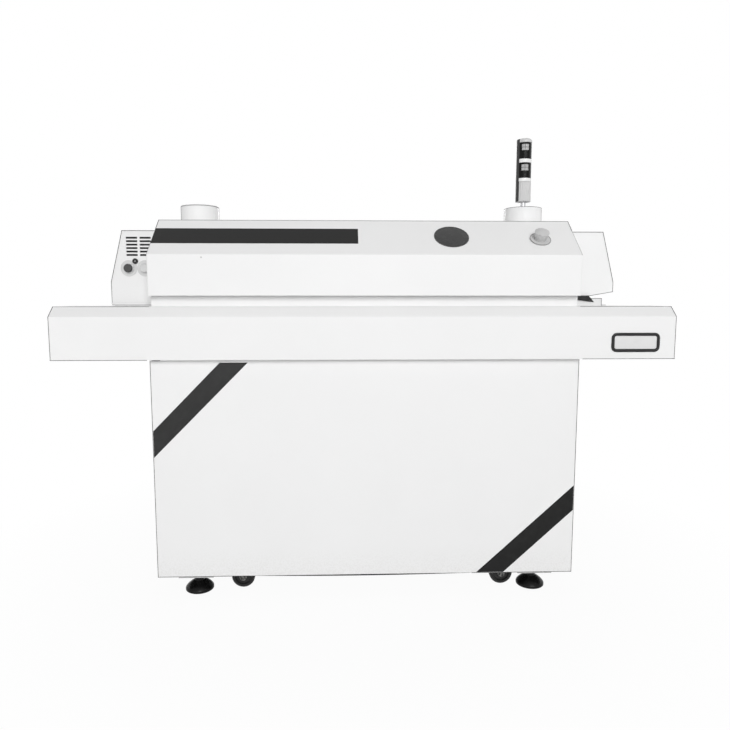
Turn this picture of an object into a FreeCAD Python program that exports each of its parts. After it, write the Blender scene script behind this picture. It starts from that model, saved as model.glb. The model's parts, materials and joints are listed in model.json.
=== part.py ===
# In-line reflow oven: a floor-standing cabinet, two long conveyor beams with a mesh belt
# between them, a heated chamber and a hood that lifts on rear hinges.
# Millimetres. Origin on the floor under the middle of the oven, +X along the belt towards
# the exit, +Y to the back, +Z up. The operator stands at -Y.
import FreeCAD
import Part
import math
import os

# Conveyor beams: the two long folded boxes that set the length and the depth
beam_length = 1900.0
beam_span = 700.0
beam_bottom = 760.0
beam_height = 160.0
beam_bevel_depth = 35.0
beam_bevel_rise = 30.0
beam_sheet = 2.0
beam_lip = 50.0
beam_edge_radius = 4.0

# Mesh belt, its drums and their bearings
belt_width = 300.0
belt_thickness = 3.0
belt_drop = 20.0
belt_side_gap = 26.0
belt_end_margin = 6.0
belt_drum_gap = 0.4
drum_radius = 52.0
drum_overhang = 2.0
drum_hole_radius = 12.0
drum_hole_count = 3
drum_end_disc = 10.0
drum_wall = 5.0
shaft_radius = 10.0
shaft_fit = 0.05
shaft_hole_gap = 4.0
bearing_flange = 64.0
bearing_flange_thickness = 6.0
bearing_depth = 16.0
bearing_boss_radius = 22.0
bearing_boss_taper = 2.0

# Drive gearmotor inside the rear beam
gear_case = 76.0
gear_case_depth = 80.0
motor_radius = 36.0
motor_length = 150.0
motor_wall_gap = 4.0
motor_end_chamfer = 6.0
motor_fan_cover = 18.0
motor_fan_step = 9.0

# Cabinet panels and welded frame
cabinet_width = 1326.0
beam_overhang = 30.0
cabinet_bottom = 64.0
cabinet_top_gap = 5.0
panel_sheet = 1.5
panel_return = 8.0
panel_joint = 0.5
panel_edge_radius = 1.5
frame_tube = 40.0
frame_wall = 2.5
deck_sheet = 3.0
pan_sheet = 1.5
pan_gap = 1.0
louvre_length = 180.0
louvre_height = 7.0
louvre_pitch = 22.0
louvre_rows = 8
louvre_offset = 330.0
louvre_bottom = 470.0
cowl_depth = 9.0
cowl_height = 15.0
cowl_side = 4.0

# Levelling feet
foot_inset_x = 118.0
foot_inset_y = 54.0
foot_plate_length = 110.0
foot_plate_width = 100.0
foot_plate_thickness = 6.0
foot_pad_radius = 45.0
foot_pad_edge = 8.0
foot_pad_chamfer = 2.0
foot_neck_radius = 16.0
foot_neck_height = 10.0
foot_dome_reach = 0.68
foot_dome_fullness = 0.57
lock_nut_radius = 14.0
lock_nut_height = 10.0
stud_radius = 8.0
stud_fit = 0.05
stud_top_gap = 8.0
leg_tube = 60.0
leg_wall = 3.0

# Swivel casters
caster_inset_x = 238.0
caster_inset_y = 62.0
caster_floor_gap = 1.5
caster_wheel_radius = 37.5
caster_wheel_width = 24.0
caster_hub_radius = 11.0
caster_rim_depth = 10.5
caster_dish_depth = 6.6
caster_tread_drop = 3.75
caster_tread_bevel = 4.8
caster_trail = 22.0
caster_side_gap = 1.5
caster_crown_gap = 10.0
caster_fork_sheet = 3.0
caster_eye_radius = 12.0
caster_head_height = 7.0
caster_head_radius = 26.0
caster_race_height = 3.7
caster_race_radius = 22.0
caster_plate_length = 96.0
caster_plate_width = 76.0
caster_plate_thickness = 4.0
kingpin_radius = 6.0
kingpin_head_radius = 9.0
kingpin_head_height = 3.0
axle_radius = 5.0
axle_head_radius = 8.5
axle_head_height = 4.0
pivot_fit = 0.05
running_gap = 0.3

# Lower chamber: tray, heater rods, slotted baffles and belt slides inside the belt loop
zone_count = 3
slide_height = 10.7
slide_width = 8.0
slide_spacing = 120.0
slide_end_gap = 18.0
baffle_sheet = 2.0
baffle_side_gap = 0.5
baffle_joint = 1.0
tray_sheet = 3.0
tray_floor_gap = 14.0
tray_end_inset = 3.0
heater_radius = 6.0
heaters_per_zone = 3
slot_width = 8.0
slot_pitch = 40.0
slot_margin = 24.0

# Chamber rim and its gasket
rim_height = 30.0
rim_hinge_gap = 1.0
rim_sheet = 2.0
gasket_height = 2.7
gasket_width = 24.0
gasket_gap = 0.3

# Lifting hood
hood_front_height = 124.0
hood_slope_depth = 140.0
hood_slope_rise = 117.0
hood_sheet = 2.0
hood_edge_radius = 4.0
nozzle_sheet = 2.0
nozzle_lap = 14.0
plenum_height = 103.0
plenum_sheet = 3.0
plenum_inset = 4.0

# Hot air blowers
blower_shaft_radius = 6.0
blower_shaft_reach = 40.0
blower_radius = 72.0
blower_height = 42.0
blower_disc = 2.5
blower_eye_radius = 40.0
blower_hub_radius = 14.0
blower_hub_length = 18.5
blower_blades = 12
blower_blade_sheet = 2.0
blower_blade_sweep = 32.0
blower_blade_bow = 0.38
blower_top_gap = 14.0
blower_hole_gap = 4.0
fan_motor_radius = 52.0
fan_motor_height = 92.0
fan_motor_flange_radius = 66.0
fan_motor_flange = 6.0
fan_motor_fin_depth = 5.0
fan_motor_fins = 2
fan_motor_top_bevel = 16.0

# Exhaust collars on the hood top
collar_radius = 60.5
collar_wall = 1.5
collar_height = 52.0
collar_front_inset = 70.0
exhaust_end_inset = 118.0
lamp_end_inset = 131.0

# Signal tower
pole_radius = 9.3
pole_height = 19.0
pole_flange_radius = 20.0
pole_flange = 3.0
lamp_radius = 24.5
lamp_base_height = 65.0
lamp_flutes = 20
lamp_flute_depth = 1.2
lamp_lower_ring = 11.0
lamp_lower_lens = 50.0
lamp_upper_ring = 12.0
lamp_upper_lens = 53.0
lamp_cap_height = 15.0
lamp_cap_edge = 6.0
lamp_lens_inset = 0.8
lamp_lens_rings = 2

# Emergency stop on the hood slope
stop_end_inset = 115.0
stop_slope_distance = 79.5
stop_plate_radius = 32.5
stop_plate_thickness = 3.0
stop_bezel_radius = 18.0
stop_bezel_height = 13.0
stop_barrel_radius = 12.0
stop_barrel_depth = 45.0
stop_spindle_radius = 6.0
stop_head_radius = 22.5
stop_head_base = 21.0
stop_head_height = 14.0
stop_head_crown = 6.0
stop_head_foot = 4.5
stop_head_flare = 4.9
stop_grip_count = 3
stop_grip_radius = 3.0

# Entry and exit tunnels beside the hood
tunnel_gap = 2.0
tunnel_reach = 156.0
tunnel_sill_lap = 7.0
tunnel_top_drop = 34.0
tunnel_taper = 40.0
tunnel_bend_rise = 78.0
tunnel_sheet = 2.0
tunnel_edge_radius = 2.5
tunnel_mouth_rise = 40.0
tunnel_mouth_side = 8.0
entry_sill_height = 8.0
entry_sill_length = 145.0
exit_sill_height = 24.0
exit_sill_length = 117.0
exit_skirt_rise = 33.0
exit_skirt_tilt = 13.0
exit_skirt_level = 80.0
sill_width = 14.0
exit_bracket_sheet = 3.0
exit_bracket_length = 76.0
exit_bracket_lap = 30.0
exit_curtain_inset = 35.0
curtain_sheet = 3.0
curtain_lap = 25.0
curtain_rise = 15.0
curtain_strips = 10
curtain_slit = 1.5
curtain_edge_gap = 1.0

# Vents, push buttons and buzzer on the front of the entry tunnel
vent_length = 35.5
vent_height = 6.0
vent_pitch = 10.9
vent_rows = 6
vent_column_pitch = 43.0
vent_end_inset = 69.8
vent_top_drop = 22.5
legend_radius = 26.0
legend_sheet = 1.5
bezel_radius = 16.5
bezel_height = 7.0
button_height = 120.6
button_end_inset = 58.0
button_pitch = 52.5
button_radius = 13.2
button_head_gap = 0.4
button_head_height = 7.5
button_proud = 6.0
button_bevel = 1.5
button_crown = 0.4
button_barrel_radius = 11.0
button_barrel_depth = 35.0
button_fit = 0.05
buzzer_end_inset = 79.6
buzzer_height = 143.3
buzzer_radius = 8.5
buzzer_proud = 7.0
buzzer_mouth_radius = 3.0
buzzer_mouth_depth = 3.5
buzzer_bevel = 1.5
buzzer_gap = 0.3

# Rear hinges of the hood
hinge_count = 3
hinge_end_inset = 183.0
hinge_length = 84.0
hinge_axis_out = 13.0
hinge_axis_drop = 10.0
knuckle_radius = 7.0
knuckle_gap = 0.5
hinge_pin_radius = 3.0
hinge_pin_fit = 0.05
hinge_pin_head = 2.0
hinge_pin_head_radius = 4.8
hinge_leaf_sheet = 3.0
hinge_leaf_height = 42.0
hinge_leaf_clear = 4.0
hinge_foot_width = 25.0
hinge_foot_margin = 2.0
hinge_arm_root = 6.0
hinge_arm_end = 5.6

# Control unit inside the cabinet and cable gland on the rear panel
control_length = 340.0
control_depth = 220.0
control_height = 260.0
control_x = -260.0
control_sheet = 2.0
control_lid = 12.0
control_lid_lip = 6.0
control_fins = 9
control_fin_depth = 14.0
control_fin_sheet = 3.0
gland_end_inset = 103.0
gland_height = 160.0
gland_radius = 14.0
gland_reach = 24.0
gland_bore_radius = 6.0
gland_nut_radius = 17.0
gland_nut_height = 9.0
gland_lip = 2.0

# Cuts run past a face by this much so that they open it cleanly
cut_past = 1.0
# Two ends of an outline nearer than this are one point
same_point = 1e-6

# Places that follow from the sizes above
beam_top = beam_bottom + beam_height
beam_inner = belt_width / 2 + belt_side_gap
beam_outer = beam_span / 2
belt_top = beam_top - belt_drop
belt_inner_radius = drum_radius + belt_drum_gap
belt_outer_radius = belt_inner_radius + belt_thickness
drum_x = beam_length / 2 - belt_end_margin - belt_outer_radius
drum_z = belt_top - belt_outer_radius
drum_half = belt_width / 2 + drum_overhang

cabinet_x = cabinet_width / 2
cabinet_depth = beam_span - 2 * beam_overhang
cabinet_y = cabinet_depth / 2
cabinet_top = beam_bottom - cabinet_top_gap
frame_x = cabinet_x - panel_return
frame_y = cabinet_y - panel_return
deck_bottom = beam_bottom - deck_sheet
foot_x = cabinet_x - foot_inset_x
foot_y = cabinet_y - foot_inset_y
foot_plate_bottom = cabinet_bottom - foot_plate_thickness
caster_x = cabinet_x - caster_inset_x
caster_y = cabinet_y - caster_inset_y

wheel_z = caster_floor_gap + caster_wheel_radius
kingpin_bottom = wheel_z + caster_wheel_radius + caster_crown_gap
bridge_bottom = kingpin_bottom + kingpin_head_height + running_gap
bridge_top = bridge_bottom + caster_fork_sheet
swivel_top = bridge_top + caster_head_height
race_bottom = swivel_top + running_gap
caster_plate_bottom = race_bottom + caster_race_height
rail_bottom = caster_plate_bottom + caster_plate_thickness
rail_top = rail_bottom + frame_tube

slide_top = belt_top - belt_thickness - running_gap
baffle_top = slide_top - slide_height
tray_top = baffle_top - baffle_sheet
tray_bottom = drum_z - belt_inner_radius + tray_floor_gap
tray_x = cabinet_x - tray_end_inset
zone_length = 2 * tray_x / zone_count

hinge_foot_end = beam_outer - beam_bevel_depth - hinge_foot_margin
rim_outer = hinge_foot_end - hinge_foot_width - rim_hinge_gap
rim_top = beam_top + rim_height
hood_bottom = rim_top + gasket_height + gasket_gap
hood_shoulder = hood_bottom + hood_front_height
hood_top = hood_shoulder + hood_slope_rise
hood_inner_x = cabinet_x - hood_sheet
slope_length = math.hypot(hood_slope_depth, hood_slope_rise)
slope_angle = math.degrees(math.atan2(hood_slope_rise, hood_slope_depth))
nozzle_bottom = hood_bottom + hood_sheet
nozzle_top = nozzle_bottom + nozzle_sheet
nozzle_y = beam_inner + nozzle_lap
plenum_y = nozzle_y - plenum_inset
plenum_top = nozzle_top + plenum_height
nozzle_length = 2 * hood_inner_x / zone_count
blower_top = plenum_top - plenum_sheet - blower_top_gap
collar_top = hood_top + collar_height
exhaust_x = exhaust_end_inset - cabinet_x
lamp_x = cabinet_x - lamp_end_inset
collar_y = collar_front_inset + hood_slope_depth - cabinet_y
lamp_base_z = collar_top + pole_height
lower_ring_z = lamp_base_z + lamp_base_height
lower_lens_z = lower_ring_z + lamp_lower_ring
upper_ring_z = lower_lens_z + lamp_lower_lens
upper_lens_z = upper_ring_z + lamp_upper_ring
lamp_cap_z = upper_lens_z + lamp_upper_lens
stop_x = cabinet_x - stop_end_inset

tunnel_start = cabinet_x + tunnel_gap
tunnel_end = cabinet_x + tunnel_reach
tunnel_y = beam_inner + tunnel_sill_lap
tunnel_top = hood_top - tunnel_top_drop
tunnel_bend = beam_top + tunnel_bend_rise
exit_base = beam_top + exit_skirt_rise
bracket_y = tunnel_y - tunnel_sheet
mouth_top = beam_top + tunnel_mouth_rise
vent_first_x = vent_end_inset - tunnel_end
button_left_x = button_end_inset - tunnel_end
button_right_x = button_left_x + button_pitch
button_z = beam_top + button_height
buzzer_x = buzzer_end_inset - tunnel_end
buzzer_z = beam_top + buzzer_height

hinge_y = cabinet_y + hinge_axis_out
hinge_z = hood_bottom - hinge_axis_drop
hinge_pitch = (cabinet_width - 2 * hinge_end_inset) / (hinge_count - 1)
gland_x = gland_end_inset - cabinet_x

ALONG = {"x": FreeCAD.Vector(1, 0, 0), "y": FreeCAD.Vector(0, 1, 0), "z": FreeCAD.Vector(0, 0, 1)}
BOTH = (-1, 1)
CORNERS = [(side_x, side_y) for side_y in BOTH for side_x in BOTH]


def vec(x, y, z):
    return FreeCAD.Vector(x, y, z)


def span(first, second):
    return (min(first, second), max(first, second))


def about(middle, width):
    return (middle - width / 2, middle + width / 2)


def block(x, y, z):
    # box between three (low, high) pairs
    return Part.makeBox(x[1] - x[0], y[1] - y[0], z[1] - z[0], vec(x[0], y[0], z[0]))


def closed_wire(path, place):
    # corners as (a, b); a pair of points is an arc through the first to the second
    here = place(*path[0])
    start = here
    edges = []
    for step in path[1:]:
        if isinstance(step[0], tuple):
            end = place(*step[1])
            edges.append(Part.Arc(here, place(*step[0]), end).toShape())
        else:
            end = place(*step)
            edges.append(Part.LineSegment(here, end).toShape())
        here = end
    if not here.isEqual(start, same_point):
        edges.append(Part.LineSegment(here, start).toShape())
    return Part.Wire(edges)


def prism(axis, path, low, high):
    # outline in the plane across the axis, given in X, Y, Z order, pushed from low to high
    places = {
        "x": lambda a, b: vec(low, a, b),
        "y": lambda a, b: vec(a, low, b),
        "z": lambda a, b: vec(a, b, low),
    }
    face = Part.Face(closed_wire(path, places[axis]))
    return face.extrude(ALONG[axis] * (high - low))


def turned(path, base, axis="z", direction=1):
    # outline of (radius, height) points turned about an axis through base
    face = Part.Face(closed_wire(path, lambda radius, height: vec(radius, 0, height)))
    solid = face.revolve(vec(0, 0, 0), ALONG["z"], 360)
    solid.Placement = FreeCAD.Placement(base, FreeCAD.Rotation(ALONG["z"], ALONG[axis] * direction))
    return solid


def cap(radius, low, high):
    # arc of a ball cap from (radius, low) up to the axis at high
    ball = (radius ** 2 + (high - low) ** 2) / (2 * (high - low))
    half_angle = math.asin(radius / ball) / 2
    return ((ball * math.sin(half_angle), high - ball + ball * math.cos(half_angle)), (0, high))


def rod(radius, base, axis, length):
    return Part.makeCylinder(radius, length, base, ALONG[axis])


def inset(path, distances):
    # corners of a polygon whose sides move inwards, one distance for each side
    count = len(path)
    area = sum(path[i - 1][0] * path[i][1] - path[i][0] * path[i - 1][1] for i in range(count))
    turn = math.copysign(1, area)
    lines = []
    for i in range(count):
        (a, b), (c, d) = path[i], path[(i + 1) % count]
        length = math.hypot(c - a, d - b)
        normal = (-(d - b) / length * turn, (c - a) / length * turn)
        lines.append((normal, normal[0] * a + normal[1] * b + distances[i]))
    corners = []
    for i in range(count):
        (n, p), (m, q) = lines[i - 1], lines[i]
        spread = n[0] * m[1] - n[1] * m[0]
        corners.append(((p * m[1] - q * n[1]) / spread, (n[0] * q - m[0] * p) / spread))
    return corners


def flipped(path, side):
    # the same outline on the other side of the second axis
    return [(side * a, b) for a, b in path]


def rounded(solid, radius, chosen):
    return solid.makeFillet(radius, [edge for edge in solid.Edges if chosen(edge.CenterOfMass)])


def square_tube(spans, along, wall):
    bore = []
    for axis, (low, high) in enumerate(spans):
        bore.append((low, high) if axis == along else (low + wall, high - wall))
    return block(*spans).cut(block(*bore))


def cut_all(solid, tools):
    return solid.cut(Part.makeCompound(tools)) if tools else solid


def fused(solids):
    return solids[0].multiFuse(solids[1:]).removeSplitter()


def base_frame():
    # welded square tubes with four short legs and a foot plate under each leg
    tubes = []
    low_rail = (rail_bottom, rail_top)
    high_rail = (deck_bottom - frame_tube, deck_bottom)
    rail_y = frame_y - frame_tube
    for side in BOTH:
        for height in (low_rail, high_rail):
            across = span(side * rail_y, side * frame_y)
            tubes.append(square_tube(((-frame_x, frame_x), across, height), 0, frame_wall))
    end_x = frame_x - frame_tube / 2
    low_cross = [side * x for x in (end_x, foot_x, caster_x) for side in BOTH]
    for x in low_cross:
        tubes.append(square_tube((about(x, frame_tube), (-rail_y, rail_y), low_rail), 1, frame_wall))
    for x in (-end_x, 0, end_x):
        tubes.append(square_tube((about(x, frame_tube), (-rail_y, rail_y), high_rail), 1, frame_wall))
    hole_radius = stud_radius + stud_fit
    for side_x, side_y in CORNERS:
        corner = (span(side_x * (frame_x - frame_tube), side_x * frame_x),
                  span(side_y * rail_y, side_y * frame_y))
        tubes.append(square_tube((*corner, (rail_top, high_rail[0])), 2, frame_wall))
        leg = (about(side_x * foot_x, leg_tube), about(side_y * foot_y, leg_tube))
        tubes.append(square_tube((*leg, (cabinet_bottom, rail_bottom)), 2, leg_wall))
        plate = block(about(side_x * foot_x, foot_plate_length), about(side_y * foot_y, foot_plate_width),
                      (foot_plate_bottom, cabinet_bottom))
        hole = rod(hole_radius, vec(side_x * foot_x, side_y * foot_y, foot_plate_bottom - cut_past), "z",
                   foot_plate_thickness + 2 * cut_past)
        tubes.append(plate.cut(hole))
    return tubes


def floor_pan():
    x = frame_x - frame_tube - pan_gap
    y = frame_y - frame_tube - pan_gap
    return [block((-x, x), (-y, y), (rail_top, rail_top + pan_sheet))]


def top_deck():
    return [block((-frame_x, frame_x), (-frame_y, frame_y), (deck_bottom, beam_bottom))]


def tray_panel(length, low, high):
    # folded panel lying in X and Z, outer face at Y = 0 and its returns reaching back along +Y
    panel = block(about(0, length), (0, panel_return), (low, high))
    panel = rounded(panel, panel_edge_radius, lambda point: point.y < panel_return / 4)
    pocket = block(about(0, length - 2 * panel_sheet), (panel_sheet, panel_return + cut_past),
                   (low + panel_sheet, high - panel_sheet))
    return panel.cut(pocket)


def turned_panel(panel, angle, place):
    panel.rotate(vec(0, 0, 0), ALONG["z"], angle)
    panel.translate(place)
    return panel


def front_panel():
    return [turned_panel(tray_panel(cabinet_width, cabinet_bottom, cabinet_top), 0, vec(0, -cabinet_y, 0))]


def cowl_arc(shrink, low):
    # quarter-round section of a louvre cowl, from its lip back up to the panel
    depth, height = cowl_depth - shrink, cowl_height - shrink
    middle = math.sqrt(0.5)
    return [(cabinet_y + depth, low),
            ((cabinet_y + depth * middle, low + height * middle), (cabinet_y, low + height))]


def rear_panel():
    # two columns of pressed louvres: a slot under a cowl with closed ends and an open lower edge
    panel = turned_panel(tray_panel(cabinet_width, cabinet_bottom, cabinet_top), 180, vec(0, cabinet_y, 0))
    reach = louvre_length / 2 + cowl_side
    lip = cabinet_y + cowl_depth - panel_sheet
    cowls = []
    cuts = [rod(gland_radius, vec(gland_x, frame_y, gland_height), "y", panel_return + cut_past)]
    for x in (-louvre_offset, louvre_offset):
        for row in range(louvre_rows):
            low = louvre_bottom + row * louvre_pitch
            below = low - cut_past
            cowls.append(prism("x", [(cabinet_y, low)] + cowl_arc(0, low), x - reach, x + reach))
            cuts.append(prism("x", [(cabinet_y, below), (lip, below)] + cowl_arc(panel_sheet, low),
                              x - reach + panel_sheet, x + reach - panel_sheet))
            cuts.append(block(about(x, louvre_length), (frame_y, cabinet_y + cut_past),
                              (low, low + louvre_height)))
    return [cut_all(fused([panel] + cowls), cuts)]


def side_panels():
    length = 2 * (frame_y - panel_joint)
    left = turned_panel(tray_panel(length, cabinet_bottom, cabinet_top), -90, vec(-cabinet_x, 0, 0))
    right = turned_panel(tray_panel(length, cabinet_bottom, cabinet_top), 90, vec(cabinet_x, 0, 0))
    return [left, right]


def levelling_foot(side_x, side_y):
    dome_top = foot_plate_bottom - lock_nut_height - foot_neck_height
    belly = (foot_neck_radius + foot_dome_reach * (foot_pad_radius - foot_neck_radius),
             foot_pad_edge + foot_dome_fullness * (dome_top - foot_pad_edge))
    nut_bottom = foot_plate_bottom - lock_nut_height
    stud_top = rail_bottom - stud_top_gap
    pad = turned([(0, 0), (foot_pad_radius - foot_pad_chamfer, 0), (foot_pad_radius, foot_pad_chamfer),
                  (foot_pad_radius, foot_pad_edge), (belly, (foot_neck_radius, dome_top)),
                  (foot_neck_radius - foot_pad_chamfer, nut_bottom), (stud_radius, nut_bottom),
                  (stud_radius, stud_top), (0, stud_top)], vec(side_x * foot_x, side_y * foot_y, 0))
    corners = []
    for corner in range(6):
        angle = math.radians(60 * corner)
        corners.append((side_x * foot_x + lock_nut_radius * math.cos(angle),
                        side_y * foot_y + lock_nut_radius * math.sin(angle)))
    nut = prism("z", corners, nut_bottom, foot_plate_bottom)
    return [fused([pad, nut])]


def caster_plates():
    # fixed top plates, each with its ball race and a riveted kingpin
    plates = []
    for side_x, side_y in CORNERS:
        x, y = side_x * caster_x, side_y * caster_y
        plate = block(about(x, caster_plate_length), about(y, caster_plate_width),
                      (caster_plate_bottom, rail_bottom))
        head_top = kingpin_bottom + kingpin_head_height
        pin = turned([(0, kingpin_bottom), (kingpin_head_radius, kingpin_bottom),
                      (kingpin_head_radius, head_top), (kingpin_radius, head_top),
                      (kingpin_radius, race_bottom), (caster_race_radius, race_bottom),
                      (caster_race_radius, caster_plate_bottom), (0, caster_plate_bottom)], vec(x, y, 0))
        plates.append(fused([plate, pin]))
    return plates


def caster_fork(side_x, side_y):
    # pressed fork trailing towards +X, with its axle bolt
    x, y = side_x * caster_x, side_y * caster_y
    axle_x = x + caster_trail
    inner = caster_wheel_width / 2 + caster_side_gap
    outer = inner + caster_fork_sheet
    crown = (x - caster_head_radius, x + caster_head_radius)
    cheek = [(crown[0], bridge_top), (crown[1], bridge_top), (axle_x + caster_eye_radius, wheel_z),
             ((axle_x, wheel_z - caster_eye_radius), (axle_x - caster_eye_radius, wheel_z))]
    hole_radius = axle_radius + pivot_fit
    pieces = []
    for side in BOTH:
        low, high = span(y + side * inner, y + side * outer)
        pieces.append(prism("y", cheek, low, high))
    pieces.append(block(crown, (y - outer, y + outer), (bridge_bottom, bridge_top)))
    pieces.append(turned([(0, bridge_bottom), (outer, bridge_bottom), (outer, bridge_top),
                          (caster_head_radius, bridge_top), (caster_head_radius, swivel_top),
                          (0, swivel_top)], vec(x, y, 0)))
    fork = fused(pieces)
    king_hole = rod(kingpin_radius + pivot_fit, vec(x, y, bridge_bottom - cut_past), "z",
                    swivel_top - bridge_bottom + 2 * cut_past)
    axle_hole = rod(hole_radius, vec(axle_x, y - outer - cut_past, wheel_z), "y", 2 * (outer + cut_past))
    head = outer + axle_head_height
    axle = turned([(0, -head), (axle_head_radius, -head), (axle_head_radius, -outer), (axle_radius, -outer),
                   (axle_radius, outer), (axle_head_radius, outer), (axle_head_radius, head), (0, head)],
                  vec(axle_x, y, wheel_z), "y")
    return [fork.cut(king_hole).cut(axle_hole), axle]


def caster_wheel(side_x, side_y):
    # one moulded wheel: crowned tread, dished faces and a hub bored for the axle
    half = caster_wheel_width / 2
    bore = axle_radius + pivot_fit
    hub = caster_hub_radius
    rim = caster_wheel_radius - caster_rim_depth
    shoulder = caster_wheel_radius - caster_tread_drop
    dish = half - caster_dish_depth
    tread = half - caster_tread_bevel
    face = [(bore, -half), (hub, -half), (hub, -dish), (rim, -dish), (rim, -half), (shoulder, -half),
            (caster_wheel_radius, -tread), (caster_wheel_radius, tread), (shoulder, half), (rim, half),
            (rim, dish), (hub, dish), (hub, half), (bore, half)]
    centre = vec(side_x * caster_x + caster_trail, side_y * caster_y, wheel_z)
    return [turned(face, centre, "y")]


def beam(side):
    # folded box along the belt: bevelled outer edge, closed ends, open slot underneath
    half = beam_length / 2
    bevel_foot = beam_top - beam_bevel_rise
    outline = flipped([(beam_inner, beam_bottom), (beam_inner, beam_top),
                       (beam_outer - beam_bevel_depth, beam_top), (beam_outer, bevel_foot),
                       (beam_outer, beam_bottom)], side)
    box = prism("x", outline, -half, half)
    box = rounded(box, beam_edge_radius,
                  lambda point: abs(point.y) > beam_inner + cut_past and point.z > beam_bottom + cut_past)
    hollow = prism("x", inset(outline, [beam_sheet] * 5), -half + beam_sheet, half - beam_sheet)
    slot = block((-half + beam_sheet, half - beam_sheet),
                 span(side * (beam_inner + beam_sheet), side * (beam_outer - beam_lip)),
                 (beam_bottom - cut_past, beam_bottom + beam_sheet + cut_past))
    holes = []
    low = span(side * (beam_inner - cut_past), side * (beam_inner + beam_sheet + cut_past))
    for x in (-drum_x, drum_x):
        holes.append(rod(shaft_radius + shaft_hole_gap, vec(x, low[0], drum_z), "y", low[1] - low[0]))
    return [cut_all(box, [hollow, slot] + holes)]


def chamber_rim():
    # folded channels on the beam tops that the hood closes on
    rims = []
    for side in BOTH:
        channel = block((-cabinet_x, cabinet_x), span(side * beam_inner, side * rim_outer),
                        (beam_top, rim_top))
        hollow = block((-cabinet_x + rim_sheet, cabinet_x - rim_sheet),
                       span(side * (beam_inner + rim_sheet), side * (rim_outer - rim_sheet)),
                       (beam_top - cut_past, rim_top - rim_sheet))
        rims.append(channel.cut(hollow))
    return rims


def hood_gasket():
    strips = []
    for side in BOTH:
        across = span(side * rim_outer, side * (rim_outer - gasket_width))
        strips.append(block((-cabinet_x, cabinet_x), across, (rim_top, rim_top + gasket_height)))
    return strips


def tunnel_sills():
    # guide bars beside the belt under each tunnel, and the brackets that carry the exit tunnel
    bars = []
    exit_top = beam_top + exit_sill_height
    bracket_top = exit_base + exit_bracket_lap
    for side in BOTH:
        across = span(side * beam_inner, side * (beam_inner + sill_width))
        bars.append(block((-cabinet_x - entry_sill_length, -cabinet_x), across,
                          (beam_top, beam_top + entry_sill_height)))
        bars.append(block((cabinet_x, cabinet_x + exit_sill_length), across, (beam_top, exit_top)))
        bars.append(block((tunnel_start, tunnel_start + exit_bracket_length),
                          span(side * (bracket_y - exit_bracket_sheet), side * bracket_y),
                          (exit_top, bracket_top)))
    return bars


def lower_chamber():
    # sheet tray inside the belt loop, split into zones by partitions
    tray = block((-tray_x, tray_x), (-beam_inner, beam_inner), (tray_bottom, tray_top))
    pockets = []
    for zone in range(zone_count):
        low = -tray_x + zone * zone_length
        pockets.append(block((low + tray_sheet, low + zone_length - tray_sheet),
                             (-beam_inner + tray_sheet, beam_inner - tray_sheet),
                             (tray_bottom + tray_sheet, tray_top + cut_past)))
    return [cut_all(tray, pockets)]


def lower_heaters():
    rods = []
    reach = beam_inner - tray_sheet
    pitch = zone_length / heaters_per_zone
    for zone in range(zone_count):
        for place in range(heaters_per_zone):
            x = -tray_x + zone * zone_length + (place + 0.5) * pitch
            rods.append(rod(heater_radius, vec(x, -reach, (tray_bottom + tray_top) / 2), "y", 2 * reach))
    return rods


def slotted_plate(x, y, z):
    # plate with a row of long air slots across the belt
    usable = x[1] - x[0] - 2 * slot_margin
    count = int(usable // slot_pitch)
    middle = (x[0] + x[1]) / 2
    slots = []
    for place in range(count):
        centre = middle + (place - (count - 1) / 2) * slot_pitch
        slots.append(block(about(centre, slot_width), (y[0] + slot_margin, y[1] - slot_margin),
                           (z[0] - cut_past, z[1] + cut_past)))
    return cut_all(block(x, y, z), slots)


def slotted_row(length, half_width, z):
    plates = []
    for zone in range(zone_count):
        middle = (zone - (zone_count - 1) / 2) * length
        plates.append(slotted_plate(about(middle, length - baffle_joint), (-half_width, half_width), z))
    return plates


def lower_baffles():
    return slotted_row(zone_length, beam_inner - baffle_side_gap, (tray_top, baffle_top))


def nozzle_plates():
    return slotted_row(nozzle_length, nozzle_y, (nozzle_bottom, nozzle_top))


def belt_slides():
    reach = drum_x - belt_outer_radius - slide_end_gap
    return [block((-reach, reach), about(y, slide_width), (baffle_top, slide_top))
            for y in (-slide_spacing, 0, slide_spacing)]


def loop_path(radius):
    return [(-drum_x, drum_z + radius), (drum_x, drum_z + radius),
            ((drum_x + radius, drum_z), (drum_x, drum_z - radius)), (-drum_x, drum_z - radius),
            ((-drum_x - radius, drum_z), (-drum_x, drum_z + radius))]


def mesh_belt():
    half = belt_width / 2
    outer = prism("y", loop_path(belt_outer_radius), -half, half)
    inner = prism("y", loop_path(belt_inner_radius), -half - cut_past, half + cut_past)
    return [outer.cut(inner)]


def belt_drum(x, rear_reach):
    # hollow drum with lightened end discs and a through shaft
    front_reach = beam_inner - shaft_fit
    body = turned([(0, -front_reach), (shaft_radius, -front_reach), (shaft_radius, -drum_half),
                   (drum_radius, -drum_half), (drum_radius, drum_half), (shaft_radius, drum_half),
                   (shaft_radius, rear_reach), (0, rear_reach)], vec(x, 0, drum_z), "y")
    inside = drum_half - drum_end_disc
    hollow = turned([(shaft_radius, -inside), (drum_radius - drum_wall, -inside),
                     (drum_radius - drum_wall, inside), (shaft_radius, inside)], vec(x, 0, drum_z), "y")
    middle = (shaft_radius + drum_radius) / 2
    holes = [hollow]
    for place in range(drum_hole_count):
        angle = 2 * math.pi * place / drum_hole_count
        for side in BOTH:
            low, high = span(side * (inside - cut_past), side * (drum_half + cut_past))
            holes.append(rod(drum_hole_radius, vec(x + middle * math.cos(angle), low,
                                                   drum_z + middle * math.sin(angle)), "y", high - low))
    return [cut_all(body, holes)]


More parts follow.
